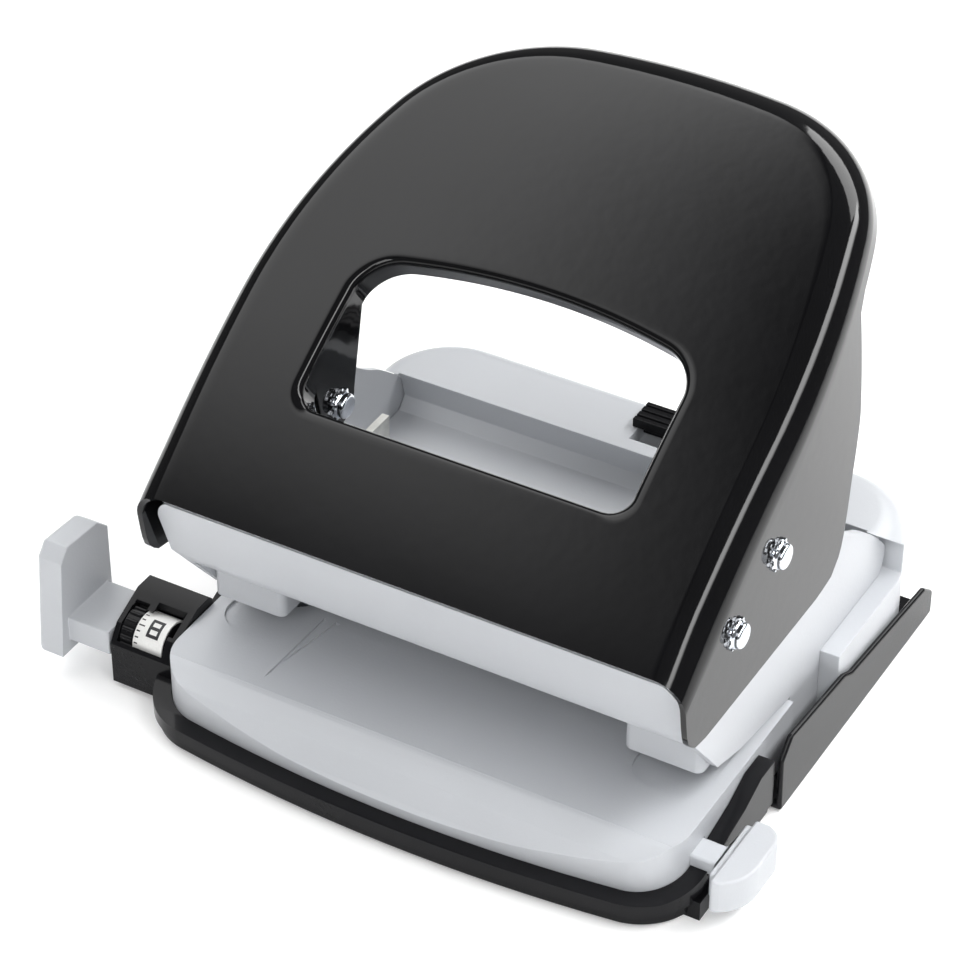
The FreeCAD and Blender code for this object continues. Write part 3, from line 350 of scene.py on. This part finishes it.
def smooth(piece, angle):
    """Smooth shading with sharp edges kept past an angle, weighted towards the large faces."""
    mesh = piece.data
    mesh.shade_smooth()
    mesh.set_sharp_from_angle(angle=math.radians(angle))
    weighted = piece.modifiers.new("weighted", "WEIGHTED_NORMAL")
    weighted.keep_sharp = True
    apply_modifiers(piece)


def refinish(*nodes):
    """Gives CAD nodes whose shape is right their finish."""
    for node in nodes:
        mesh = frame["nodes"][node].data
        mesh.materials.clear()
        mesh.materials.append(finish_of(SLOT_OF[node]))


# ---- handle -----------------------------------------------------------------------------------------


class Pressing:
    """The handle's geometry: a plan outline seen along the press direction, laid on the arched face."""

    def __init__(self, sizes):
        self.sizes = sizes
        self.half = sizes.half_width
        self.lip = Vector(LIP) * MM
        self.slope = Vector((0, math.cos(sizes.draw_angle), math.sin(sizes.draw_angle)))
        self.out = Vector((0, -math.sin(sizes.draw_angle), math.cos(sizes.draw_angle)))
        self.radius = sizes.face_radius
        self.centre = self.lip + self.radius * Vector(
            (0, math.sin(sizes.face_angle), -math.cos(sizes.face_angle))
        )
        self.waist = WAIST_RADIUS
        self.waist_start = WAIST_START
        self.front = Vector((0, 1.6, -10.4)).normalized()
        self.lead = 16 * MM
        self.crown = CROWN_RADIUS
        self.top = self.along(sizes.face_length)
        self.side = self.right_side(300)

    def face(self, arc, depth=0.0):
        """A point of the face at a distance along its arch."""
        turn = self.sizes.face_angle - arc / self.radius
        reach = self.radius - depth
        return self.centre + reach * Vector((0, -math.sin(turn), math.cos(turn)))

    def along(self, arc):
        """How far up the slope a point of the face lies."""
        return (self.face(arc) - self.lip).dot(self.slope)

    def on_face(self, x, up, depth=0.0):
        """The face's point over a place of the plan, or one below it along the press direction."""
        foot = self.lip + self.slope * up
        gap = foot - self.centre
        gap.x = 0
        across = gap.dot(self.out)
        lift = -across + math.sqrt(across * across - gap.length_squared + self.radius**2)
        share = min(max(up / self.lead, 0.0), 1.0)
        share = share * share * (3 - 2 * share)
        down = self.front.lerp(-self.out, share).normalized()
        point = foot + self.out * lift + down * depth
        return Vector((x, point.y, point.z))

    def half_at(self, up):
        """The plan's half width at a distance up the slope."""
        if up <= 0:
            return self.half
        for lower, upper in zip(self.side, self.side[1:]):
            if upper[1] >= up:
                share = (up - lower[1]) / (upper[1] - lower[1])
                return lower[0] + (upper[0] - lower[0]) * share
        return 0.0

    def right_side(self, steps):
        """The plan's right half, from the lip up the side and over the corner to the middle of the crown."""
        side = (self.half - self.waist, self.waist_start)
        crown = (0.0, self.top - self.crown)
        corner = CROWN_CORNER
        hub = meet_of_circles(side, self.waist - corner, crown, self.crown - corner)
        first = math.atan2(hub[1] - side[1], hub[0] - side[0])
        last = math.atan2(hub[1] - crown[1], hub[0] - crown[0])
        points = [(self.half, self.waist_start * step / 30) for step in range(30)]
        points += arc_points(side, self.waist, 0.0, first, 40)
        points += arc_points(hub, corner, first, last, 40)
        points += arc_points(crown, self.crown, last, math.pi / 2, 30)
        return even(points + [(0.0, self.top)], steps)


def meet_of_circles(first, first_radius, second, second_radius):
    """The right-hand meeting point of two circles."""
    apart = math.hypot(second[0] - first[0], second[1] - first[1])
    along = (first_radius**2 - second_radius**2 + apart**2) / (2 * apart)
    rise = math.sqrt(first_radius**2 - along**2)
    unit = ((second[0] - first[0]) / apart, (second[1] - first[1]) / apart)
    foot = (first[0] + unit[0] * along, first[1] + unit[1] * along)
    meets = [(foot[0] - unit[1] * rise * way, foot[1] + unit[0] * rise * way) for way in (1, -1)]
    return max(meets, key=lambda spot: spot[0] + spot[1])


def arc_points(centre, radius, start, end, steps):
    """Points along an arc, without its last one."""
    turns = [start + (end - start) * step / steps for step in range(steps)]
    return [(centre[0] + radius * math.cos(turn), centre[1] + radius * math.sin(turn)) for turn in turns]


def even(points, steps):
    """Points at even distances along a line of points."""
    lengths = [0.0]
    for a, b in zip(points, points[1:]):
        lengths.append(lengths[-1] + math.dist(a, b))
    result = []
    place = 0
    for step in range(steps + 1):
        aim = lengths[-1] * step / steps
        while place < len(points) - 2 and lengths[place + 1] < aim:
            place += 1
        span = lengths[place + 1] - lengths[place]
        share = (aim - lengths[place]) / span if span > 0 else 0.0
        result.append(tuple(a + (b - a) * share for a, b in zip(points[place], points[place + 1])))
    return result


def window_outline(pressing, inset):
    """The hand window in the plan, counter-clockwise from its lower right corner."""
    half = WINDOW_HALF - inset
    low = pressing.along(WINDOW_START) + inset
    high = pressing.along(WINDOW_END) - inset
    bow = WINDOW_BOW - inset
    upper = 8 * MM - inset
    lower = 4 * MM - inset * 0.6
    hub_x = half - upper
    hub_y = high - bow + math.sqrt((bow - upper) ** 2 - hub_x**2)
    tangent = math.atan2(hub_y - (high - bow), hub_x)
    points = arc_points((half - lower, low + lower), lower, -math.pi / 2, 0, 8)
    points += arc_points((hub_x, hub_y), upper, 0, tangent, 12)
    points += arc_points((0, high - bow), bow, tangent, math.pi - tangent, 40)
    points += arc_points((-hub_x, hub_y), upper, math.pi - tangent, math.pi, 12)
    points += arc_points((-half + lower, low + lower), lower, math.pi, 1.5 * math.pi, 8)
    return points


def on_ray(outline, centre, aim):
    """Where the ray from a centre through a place meets a closed outline."""
    ray = (aim[0] - centre[0], aim[1] - centre[1])
    for a, b in zip(outline, outline[1:] + outline[:1]):
        edge = (b[0] - a[0], b[1] - a[1])
        cross = ray[0] * edge[1] - ray[1] * edge[0]
        if abs(cross) < 1e-14:
            continue
        gap = (a[0] - centre[0], a[1] - centre[1])
        far = (gap[0] * edge[1] - gap[1] * edge[0]) / cross
        share = (gap[0] * ray[1] - gap[1] * ray[0]) / cross
        if far > 0 and -1e-9 <= share <= 1 + 1e-9:
            return (centre[0] + ray[0] * far, centre[1] + ray[1] * far)
    raise RuntimeError("the window's outline has a gap")


def cheek_line(pressing):
    """The cheek's free edge from the rounded lip, under the pins and up to the crown's rim."""
    rim = pressing.sizes.rim_depth
    lip_end = ((-29.8, 40.2), (-28.9, 37.4), (-26.6, 35.6), (-22.6, 35))
    rear_end = ((17.7, 35), (22.5, 35.8), (25.4, 38.6), (26.2, 40.6), (28.8, 51.8), (32.6, 62))
    line = [pressing.on_face(0, 0, pressing.sizes.edge_round)]
    line += [Vector((0, y, z)) * MM for y, z in lip_end + rear_end]
    line.append(pressing.face(CROWN_START, rim))
    return line


def handle_surface(pressing):
    """The handle's outer surface: window flange, arched face, rounded border, cheeks and rim."""
    sizes = pressing.sizes
    side_steps = 110
    right = pressing.right_side(side_steps)
    rim_path = right + [(-x, up) for x, up in reversed(right[:-1])]
    count = len(rim_path)
    inner = []
    for index, spot in enumerate(rim_path):
        before = rim_path[max(index - 1, 0)]
        after = rim_path[min(index + 1, count - 1)]
        run = (after[0] - before[0], after[1] - before[1])
        size = math.hypot(*run)
        normal = (-run[1] / size, run[0] / size)
        inner.append((normal, spot))
    border = sizes.edge_round
    face_edge = [(spot[0] + normal[0] * border, spot[1] + normal[1] * border) for normal, spot in inner]
    lip_steps = 60
    start = face_edge[0]
    lip = [(-start[0] + 2 * start[0] * step / lip_steps, 0.0) for step in range(1, lip_steps)]
    loop = face_edge + lip
    flange_round = 1.6 * MM
    window = window_outline(pressing, 0)
    hub = (0.0, (window[0][1] + window[30][1]) / 2)
    loops = []
    for depth in (sizes.flange_depth, sizes.flange_depth * 0.6):
        loops.append([(on_ray(window, hub, spot), depth) for spot in loop])
    for step in range(5):
        turn = math.pi / 2 * step / 5
        grown = window_outline(pressing, -flange_round * (1 - math.cos(turn)))
        sink = flange_round * (1 - math.sin(turn))
        loops.append([(on_ray(grown, hub, spot), sink) for spot in loop])
    outer_window = window_outline(pressing, -flange_round)
    base = [on_ray(outer_window, hub, spot) for spot in loop]
    rings = 26
    for ring in range(rings + 1):
        share = ring / rings
        loops.append(
            [((a[0] + (b[0] - a[0]) * share, a[1] + (b[1] - a[1]) * share), 0.0) for a, b in zip(base, loop)]
        )
    work = bmesh.new()
    rows = [[work.verts.new(pressing.on_face(x, up, sink)) for (x, up), sink in ring] for ring in loops]
    closed_faces(work, rows)
    strips = [rows[-1][:count]]
    turns = 9
    for step in range(1, turns + 1):
        turn = math.pi / 2 * step / turns
        inset = border * (1 - math.sin(turn))
        sink = border * (1 - math.cos(turn))
        strips.append(
            [
                work.verts.new(pressing.on_face(spot[0] + normal[0] * inset, spot[1] + normal[1] * inset, sink))
                for normal, spot in inner
            ]
        )
    strips += cheek_rows(work, pressing, rim_path, strips[-1])
    open_faces(work, strips)
    bmesh.ops.remove_doubles(work, verts=work.verts, dist=1e-6)
    bmesh.ops.recalc_face_normals(work, faces=work.faces)
    return work


def cheek_rows(work, pressing, rim_path, start):
    """Rows of points from the rounded border down to the cheek's free edge."""
    line = cheek_line(pressing)
    half = len(rim_path) // 2
    reach = pressing.along(CROWN_START)
    share_of = [min(spot[1] / reach, 1.0) for spot in rim_path]
    parts = 400
    lower = even([tuple(point) for point in line], parts)
    rim = pressing.sizes.rim_depth
    rows = []
    steps = 14
    for step in range(1, steps + 1):
        share = step / steps
        row = []
        for index, (x, up) in enumerate(rim_path):
            top = start[index].co
            if share_of[index] < 1.0:
                end = Vector(lower[round(share_of[index] * parts)])
                end.x = top.x
            else:
                end = pressing.on_face(x, up, rim + 0.4 * MM)
            point = top.lerp(end, share)
            if share_of[index] < 1.0:
                level = (Vector((0, point.y, point.z)) - pressing.lip).dot(pressing.slope)
                width = pressing.half_at(level)
                point.x = width if index < half else -width
            row.append(work.verts.new(point))
        rows.append(row)
    return rows


def closed_faces(work, rows):
    """Joins rows of points whose ends meet."""
    for lower, upper in zip(rows, rows[1:]):
        size = len(lower)
        for index in range(size):
            after = (index + 1) % size
            work.faces.new((lower[index], lower[after], upper[after], upper[index]))


def open_faces(work, rows):
    """Joins rows of points, leaving out faces that shrink to nothing."""
    for lower, upper in zip(rows, rows[1:]):
        for index in range(len(lower) - 1):
            corners = (lower[index], lower[index + 1], upper[index + 1], upper[index])
            if (corners[0].co - corners[3].co).length > 1e-7 or (corners[1].co - corners[2].co).length > 1e-7:
                work.faces.new(corners)


def bore_through(piece, node, extra):
    """Opens a pressing where a round pin passes through it."""
    low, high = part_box(node)
    radius = (high[2] - low[2]) / 2 + extra
    mesh = bpy.data.meshes.new("drill")
    work = bmesh.new()
    bmesh.ops.create_cone(work, cap_ends=True, segments=48, radius1=radius, radius2=radius, depth=0.3)
    bmesh.ops.rotate(
        work, verts=work.verts, cent=(0, 0, 0), matrix=Matrix.Rotation(math.pi / 2, 3, "Y")
    )
    bmesh.ops.translate(work, verts=work.verts, vec=(0, (low[1] + high[1]) / 2, (low[2] + high[2]) / 2))
    work.to_mesh(mesh)
    work.free()
    drill = bpy.data.objects.new("drill", mesh)
    bpy.context.scene.collection.objects.link(drill)
    cut = piece.modifiers.new("bore", "BOOLEAN")
    cut.object = drill
    cut.operation = "DIFFERENCE"
    cut.solver = "EXACT"
    apply_modifiers(piece)
    bpy.data.objects.remove(drill)


def ear_mesh(pressing, side):
    """The black ear that hangs from the window's flange and holds the axle's inner ring."""
    thick = pressing.sizes.sheet
    radius = EAR_RADIUS
    low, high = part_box("drive_axle_right")
    centre_z = (low[2] + high[2]) / 2
    profile = []
    for step in range(25):
        turn = math.pi + math.pi * step / 24
        profile.append((radius * math.cos(turn), centre_z + radius * math.sin(turn)))
    for arc, depth in ((47, 4.0), (47, 0.8), (42, 0.8), (37, 0.8), (32, 0.8), (28, 0.8), (28, 4.0)):
        point = pressing.face(arc * MM, depth * MM)
        profile.append((point.y, point.z))
    work = bmesh.new()
    inner_x = EAR_X * side
    outer_x = inner_x + thick * side
    near_side = [work.verts.new((inner_x, y, z)) for y, z in profile]
    far_side = [work.verts.new((outer_x, y, z)) for y, z in profile]
    work.faces.new(near_side)
    work.faces.new(far_side)
    closed_faces(work, [near_side, far_side])
    bmesh.ops.recalc_face_normals(work, faces=work.faces)
    mesh = bpy.data.meshes.new("ear")
    work.to_mesh(mesh)
    work.free()
    return mesh


class OBJECT_OT_punch_handle(bpy.types.Operator):
    """Builds the lacquered lever handle with its window, cheeks and inner ears."""

    bl_idname = "object.punch_handle"
    bl_label = "Lever Handle"

    def execute(self, context):
        pressing = Pressing(context.scene.punch_sizes)
        work = handle_surface(pressing)
        mesh = bpy.data.meshes.new("lever_handle")
        work.to_mesh(mesh)
        work.free()
        handle = add_piece("lever_handle", mesh, "handle_shell")
        thick = handle.modifiers.new("sheet", "SOLIDIFY")
        thick.thickness = pressing.sizes.sheet
        thick.offset = -1
        apply_modifiers(handle)
        for node in ("drive_axle_right", "pivot_pin_right"):
            bore_through(handle, node, 0.0)
        smooth(handle, 40)
        for name, side in (("handle_ear_right", 1), ("handle_ear_left", -1)):
            ear = add_piece(name, ear_mesh(pressing, side), "handle_shell", replace=False)
            soften = ear.modifiers.new("rounding", "BEVEL")
            soften.width = 0.25 * MM
            soften.segments = 2
            soften.angle_limit = math.radians(50)
            apply_modifiers(ear)
            smooth(ear, 35)
        return {"FINISHED"}


# ---- mouldings --------------------------------------------------------------------------------------


class OBJECT_OT_punch_base(bpy.types.Operator):
    """Rounds the edges of the base's mouldings: tray, rim, head, blocks, rear cover and chip pan."""

    bl_idname = "object.punch_base"
    bl_label = "Base Mouldings"

    def execute(self, context):
        bevel = context.scene.punch_sizes.edge_bevel
        for node in ("front_tray", "head_housing", "rear_cover", "guide_block_left", "guide_block_right"):
            moulded_copy(node, bevel)
        for node in ("front_rim", "chip_tray", "lock_slider"):
            moulded_copy(node, bevel * 0.8)
        return {"FINISHED"}


class OBJECT_OT_punch_guide(bpy.types.Operator):
    """Rounds the paper guide, its D-shaped button and the dial's housing."""

    bl_idname = "object.punch_guide"
    bl_label = "Paper Guide"

    def execute(self, context):
        bevel = context.scene.punch_sizes.edge_bevel
        moulded_copy("guide_bar", bevel * 2)
        moulded_copy("guide_button", bevel * 1.4)
        moulded_copy("dial_housing", bevel)
        refinish("format_dial", "dial_axle")
        return {"FINISHED"}


def drum_point(turn, along, lift):
    """A point on the dial's drum: a turn from the front towards the top, and a place along its axle."""
    low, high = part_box("dial_label")
    radius = (high[2] - low[2]) / 2 + lift
    centre_y = (low[1] + high[1]) / 2
    centre_z = (low[2] + high[2]) / 2
    return Vector(
        (low[0] + (high[0] - low[0]) * along, centre_y - radius * math.cos(turn), centre_z + radius * math.sin(turn))
    )


def wrapped_mark(work, corners, lift=0.03 * MM, cuts=6):
    """A thin printed patch on the drum between two places and two turns."""
    left, right, start, end = corners
    rows = []
    for step in range(cuts + 1):
        turn = start + (end - start) * step / cuts
        rows.append([work.verts.new(drum_point(turn, along, lift)) for along in (left, right)])
    open_faces(work, rows)


class OBJECT_OT_punch_dial_print(bpy.types.Operator):
    """Prints the dial's label: a generic numeral and a row of ticks round the drum."""

    bl_idname = "object.punch_dial_print"
    bl_label = "Dial Print"

    def execute(self, context):
        refinish("dial_label")
        work = bmesh.new()
        for step in range(24):
            turn = 2 * math.pi * step / 24
            length = 0.2 if step % 4 == 0 else 0.12
            wrapped_mark(work, (0.04, 0.04 + length, turn - 0.03, turn + 0.03), cuts=1)
        middle = math.radians(62)
        tall, thin = 0.34, 0.07
        wide = 0.055
        bars = (
            (0.38, 0.38 + wide * 1.6, middle - tall, middle + tall),
            (0.38, 0.80, middle + tall - thin, middle + tall + thin),
            (0.38, 0.80, middle - thin, middle + thin),
            (0.38, 0.80, middle - tall - thin, middle - tall + thin),
            (0.80 - wide * 1.6, 0.80, middle - tall, middle + tall),
        )
        for bar in bars:
            wrapped_mark(work, bar)
        bmesh.ops.recalc_face_normals(work, faces=work.faces)
        mesh = bpy.data.meshes.new("dial_marks")
        work.to_mesh(mesh)
        work.free()
        add_piece("dial_marks", mesh, "dial_label", slot="ink", replace=False)
        return {"FINISHED"}


# ---- steel and rubber -------------------------------------------------------------------------------


def star_ring(work, centre, side):
    """A domed, toothed push-on ring: nine tongues round a raised middle."""
    teeth = 9
    steps = teeth * 8
    rows = []
    shape = ((PIN_RADIUS, 0.95), (2.28, 1.0), (2.4, 0.86), (2.5, 0.62))
    for radius, height in shape:
        rows.append(ring_of(work, centre, side, radius, height, steps, 0.0, teeth))
    for swing, height in ((0.3, 0.5), (0.34, 0.2), (0.3, 0.02)):
        rows.append(ring_of(work, centre, side, RING_REACH, height, steps, swing, teeth))
    closed_faces(work, rows)


def ring_of(work, centre, side, radius, height, steps, swing, teeth):
    """A ring of points round a pin; the swing makes its reach rise and fall with the teeth."""
    points = []
    for step in range(steps):
        turn = 2 * math.pi * step / steps
        reach = (radius + swing * math.tanh(3 * math.cos(turn * teeth))) * MM
        points.append(
            work.verts.new(
                (
                    centre[0] + side * height * MM,
                    centre[1] + reach * math.cos(turn),
                    centre[2] + reach * math.sin(turn),
                )
            )
        )
    return points


def pin_end(work, centre, side, radius):
    """The pin's slightly domed end inside its ring."""
    rows = []
    for share in (1.0, 0.9, 0.7, 0.4):
        height = 0.9 + 0.55 * math.sqrt(max(1 - share * share, 0))
        rows.append(ring_of(work, centre, side, radius * share, height, 48, 0.0, 1))
    closed_faces(work, rows)
    work.faces.new(rows[-1])


class OBJECT_OT_punch_rings(bpy.types.Operator):
    """Builds the bright toothed rings on the pins' ends."""

    bl_idname = "object.punch_rings"
    bl_label = "Star Rings"

    def execute(self, context):
        work = bmesh.new()
        cheek = context.scene.punch_sizes.half_width + RING_GAP
        for node in ("drive_axle_right", "pivot_pin_right"):
            low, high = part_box(node)
            y, z = (low[1] + high[1]) / 2, (low[2] + high[2]) / 2
            for side in (1, -1):
                star_ring(work, (cheek * side, y, z), side)
                pin_end(work, (cheek * side, y, z), side, PIN_RADIUS)
        low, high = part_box("drive_axle_right")
        y, z = (low[1] + high[1]) / 2, (low[2] + high[2]) / 2
        for side in (1, -1):
            ear = (EAR_X - RING_GAP) * side
            star_ring(work, (ear, y, z), -side)
            pin_end(work, (ear, y, z), -side, PIN_RADIUS)
        bmesh.ops.recalc_face_normals(work, faces=work.faces)
        mesh = bpy.data.meshes.new("toothed_rings")
        work.to_mesh(mesh)
        work.free()
        rings = add_piece("toothed_rings", mesh, "star_rings")
        smooth(rings, 40)
        refinish("drive_axle_left", "drive_axle_right", "pivot_pin_left", "pivot_pin_right")
        return {"FINISHED"}


def coil_mesh(node, turns=6, wire=0.4 * MM):
    """A round-wire coil in a spring node's place, with its two ends closed."""
    low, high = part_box(node)
    centre = ((low[0] + high[0]) / 2, (low[1] + high[1]) / 2)
    radius = (high[0] - low[0]) / 2 - wire
    bottom = low[2] + wire
    rise = high[2] - low[2] - 2 * wire
    work = bmesh.new()
    rows = []
    steps = turns * 40
    for step in range(steps + 1):
        turn = 2 * math.pi * turns * step / steps
        height = bottom + rise * step / steps
        row = []
        for side in range(10):
            swing = 2 * math.pi * side / 10
            reach = radius + wire * math.cos(swing)
            row.append(
                work.verts.new(
                    (
                        centre[0] + reach * math.cos(turn),
                        centre[1] + reach * math.sin(turn),
                        height + wire * math.sin(swing),
                    )
                )
            )
        rows.append(row)
    closed_faces(work, rows)
    work.faces.new(rows[0])
    work.faces.new(rows[-1])
    bmesh.ops.recalc_face_normals(work, faces=work.faces)
    mesh = bpy.data.meshes.new("coil")
    work.to_mesh(mesh)
    work.free()
    return mesh


class OBJECT_OT_punch_steel(bpy.types.Operator):
    """Builds the return springs and finishes the punches, dies, bushes and brackets."""

    bl_idname = "object.punch_steel"
    bl_label = "Steel Parts"

    def execute(self, context):
        for side in ("left", "right"):
            node = "return_spring_" + side
            coil = add_piece("coil_spring_" + side, coil_mesh(node), node)
            smooth(coil, 50)
            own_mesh(coil)
            refinish("spring_collar_" + side, "bracket_" + side)
            refinish("punch_" + side, "die_" + side, "punch_bush_" + side)
        refinish("paper_stop")
        return {"FINISHED"}


class OBJECT_OT_punch_rubber(bpy.types.Operator):
    """Finishes the rubber feet and strip."""

    bl_idname = "object.punch_rubber"
    bl_label = "Rubber Feet"

    def execute(self, context):
        refinish("rubber_feet", "front_pad")
        return {"FINISHED"}


# ---- stage ------------------------------------------------------------------------------------------


def fade(tree, coordinate, dark, bright):
    """A smooth change from 0 to 1 between two places along one coordinate."""
    node = tree.nodes.new("ShaderNodeMapRange")
    node.interpolation_type = "SMOOTHSTEP"
    node.inputs["From Min"].default_value = dark
    node.inputs["From Max"].default_value = bright
    tree.links.new(coordinate, node.inputs["Value"])
    return node.outputs["Result"]


def glow_finish(name, strength, across, along):
    """Light that fades out over a panel between two places across and two places along it."""
    finish = bpy.data.materials.new(name)
    finish.use_nodes = True
    tree = finish.node_tree
    tree.nodes.clear()
    place = tree.nodes.new("ShaderNodeTexCoord")
    split = tree.nodes.new("ShaderNodeSeparateXYZ")
    tree.links.new(place.outputs["Object"], split.inputs["Vector"])
    both = tree.nodes.new("ShaderNodeMath")
    both.operation = "MULTIPLY"
    tree.links.new(fade(tree, split.outputs["X"], *across), both.inputs[0])
    tree.links.new(fade(tree, split.outputs["Y"], *along), both.inputs[1])
    full = tree.nodes.new("ShaderNodeMath")
    full.operation = "MULTIPLY"
    full.inputs[1].default_value = strength
    tree.links.new(both.outputs["Value"], full.inputs[0])
    light = tree.nodes.new("ShaderNodeEmission")
    end = tree.nodes.new("ShaderNodeOutputMaterial")
    tree.links.new(full.outputs["Value"], light.inputs["Strength"])
    tree.links.new(light.outputs["Emission"], end.inputs["Surface"])
    return finish


def light_panel(name, low, high, finish):
    """A level glowing rectangle over the stage, between two corners at one height."""
    work = bmesh.new()
    corners = ((low[0], low[1]), (high[0], low[1]), (high[0], high[1]), (low[0], high[1]))
    work.faces.new([work.verts.new((x, y, low[2])) for x, y in corners])
    mesh = bpy.data.meshes.new(name)
    work.to_mesh(mesh)
    work.free()
    mesh.materials.append(finish)
    panel = bpy.data.objects.new(name, mesh)
    bpy.context.scene.collection.objects.link(panel)


def area_light(name, centre, size, power, aim):
    """A soft rectangular lamp turned towards a place."""
    lamp = bpy.data.lights.new(name, "AREA")
    lamp.shape = "RECTANGLE"
    lamp.size, lamp.size_y = size
    lamp.energy = power
    thing = bpy.data.objects.new(name, lamp)
    bpy.context.scene.collection.objects.link(thing)
    thing.location = centre
    thing.rotation_euler = (Vector(centre) - Vector(aim)).to_track_quat("Z", "Y").to_euler()


def make_floor():
    """The plain pale floor under the punch."""
    mesh = bpy.data.meshes.new("studio_floor")
    work = bmesh.new()
    reach = 2.5
    corners = ((-reach, -reach), (reach, -reach), (reach, reach), (-reach, reach))
    work.faces.new([work.verts.new((x, y, 0)) for x, y in corners])
    work.to_mesh(mesh)
    work.free()
    finish = bpy.data.materials.new("studio_floor")
    finish.use_nodes = True
    shader = finish.node_tree.nodes["Principled BSDF"]
    shader.inputs["Base Color"].default_value = (0.93, 0.93, 0.93, 1)
    shader.inputs["Roughness"].default_value = 0.85
    shader.inputs["Emission Color"].default_value = (1, 1, 1, 1)
    shader.inputs["Emission Strength"].default_value = 0.16
    mesh.materials.append(finish)
    floor = bpy.data.objects.new("studio_floor", mesh)
    bpy.context.scene.collection.objects.link(floor)


def make_camera():
    """The three-quarter view from the right front, from above."""
    azimuth, elevation = math.radians(30), math.radians(37)
    back = Vector(
        (math.sin(azimuth) * math.cos(elevation), -math.cos(azimuth) * math.cos(elevation), math.sin(elevation))
    )
    data = bpy.data.cameras.new("studio_camera")
    data.sensor_width = 36.0
    data.lens = 36.0 * 3500 / 962
    camera = bpy.data.objects.new("studio_camera", data)
    bpy.context.scene.collection.objects.link(camera)
    camera.location = (0.2277, -0.3996, 0.3978)
    camera.rotation_euler = back.to_track_quat("Z", "Y").to_euler()
    bpy.context.scene.camera = camera


class SCENE_OT_punch_stage(bpy.types.Operator):
    """Sets the pale floor, the soft studio light and the camera."""

    bl_idname = "scene.punch_stage"
    bl_label = "Studio Stage"

    def execute(self, context):
        make_floor()
        make_camera()
        world = bpy.data.worlds.new("studio")
        world.use_nodes = True
        world.node_tree.nodes["Background"].inputs["Color"].default_value = (1, 1, 1, 1)
        world.node_tree.nodes["Background"].inputs["Strength"].default_value = 0.14
        context.scene.world = world
        context.scene.view_settings.view_transform = "Standard"
        middle = (0, 0, 0.04)
        soft = glow_finish("soft_fade", 3.0, (-0.16, -0.36), (-0.75, -0.05))
        light_panel("soft_panel", (-1.1, -0.8, 0.75), (-0.15, 0.8, 0.75), soft)
        streak = glow_finish("streak_fade", 12.5, (0.52, 0.40), (-0.7, -0.3))
        light_panel("streak_panel", (0.30, -0.7, 0.55), (0.52, 0.9, 0.55), streak)
        area_light("key", (0.35, -1.1, 0.9), (0.6, 0.6), 7, middle)
        area_light("back", (0.1, 1.2, 0.9), (0.8, 0.5), 7, middle)
        return {"FINISHED"}


# ---- panel and registration -------------------------------------------------------------------------

STEPS = (
    OBJECT_OT_punch_handle,
    OBJECT_OT_punch_base,
    OBJECT_OT_punch_guide,
    OBJECT_OT_punch_dial_print,
    OBJECT_OT_punch_rings,
    OBJECT_OT_punch_steel,
    OBJECT_OT_punch_rubber,
    SCENE_OT_punch_stage,
)


class VIEW3D_PT_hole_punch(bpy.types.Panel):
    """Lists the punch's pieces in the sidebar."""

    bl_label = "Hole Punch"
    bl_idname = "VIEW3D_PT_hole_punch"
    bl_space_type = "VIEW_3D"
    bl_region_type = "UI"
    bl_category = "Hole Punch"

    def draw(self, context):
        column = self.layout.column()
        for step in STEPS:
            column.operator(step.bl_idname)
        for name in ("half_width", "face_radius", "edge_round", "sheet", "edge_bevel"):
            column.prop(context.scene.punch_sizes, name)
        for name in ("lacquer", "pale", "black", "print"):
            column.prop(context.scene.punch_colours, name)


CLASSES = (PunchSizes, PunchColours, *STEPS, VIEW3D_PT_hole_punch)


def register():
    for part in CLASSES:
        bpy.utils.register_class(part)
    bpy.types.Scene.punch_sizes = bpy.props.PointerProperty(type=PunchSizes)
    bpy.types.Scene.punch_colours = bpy.props.PointerProperty(type=PunchColours)


def unregister():
    del bpy.types.Scene.punch_colours
    del bpy.types.Scene.punch_sizes
    for part in reversed(CLASSES):
        bpy.utils.unregister_class(part)


def main():
    register()
    for step in STEPS:
        group, name = step.bl_idname.split(".")
        getattr(getattr(bpy.ops, group), name)()


if __name__ == "__main__":
    main()
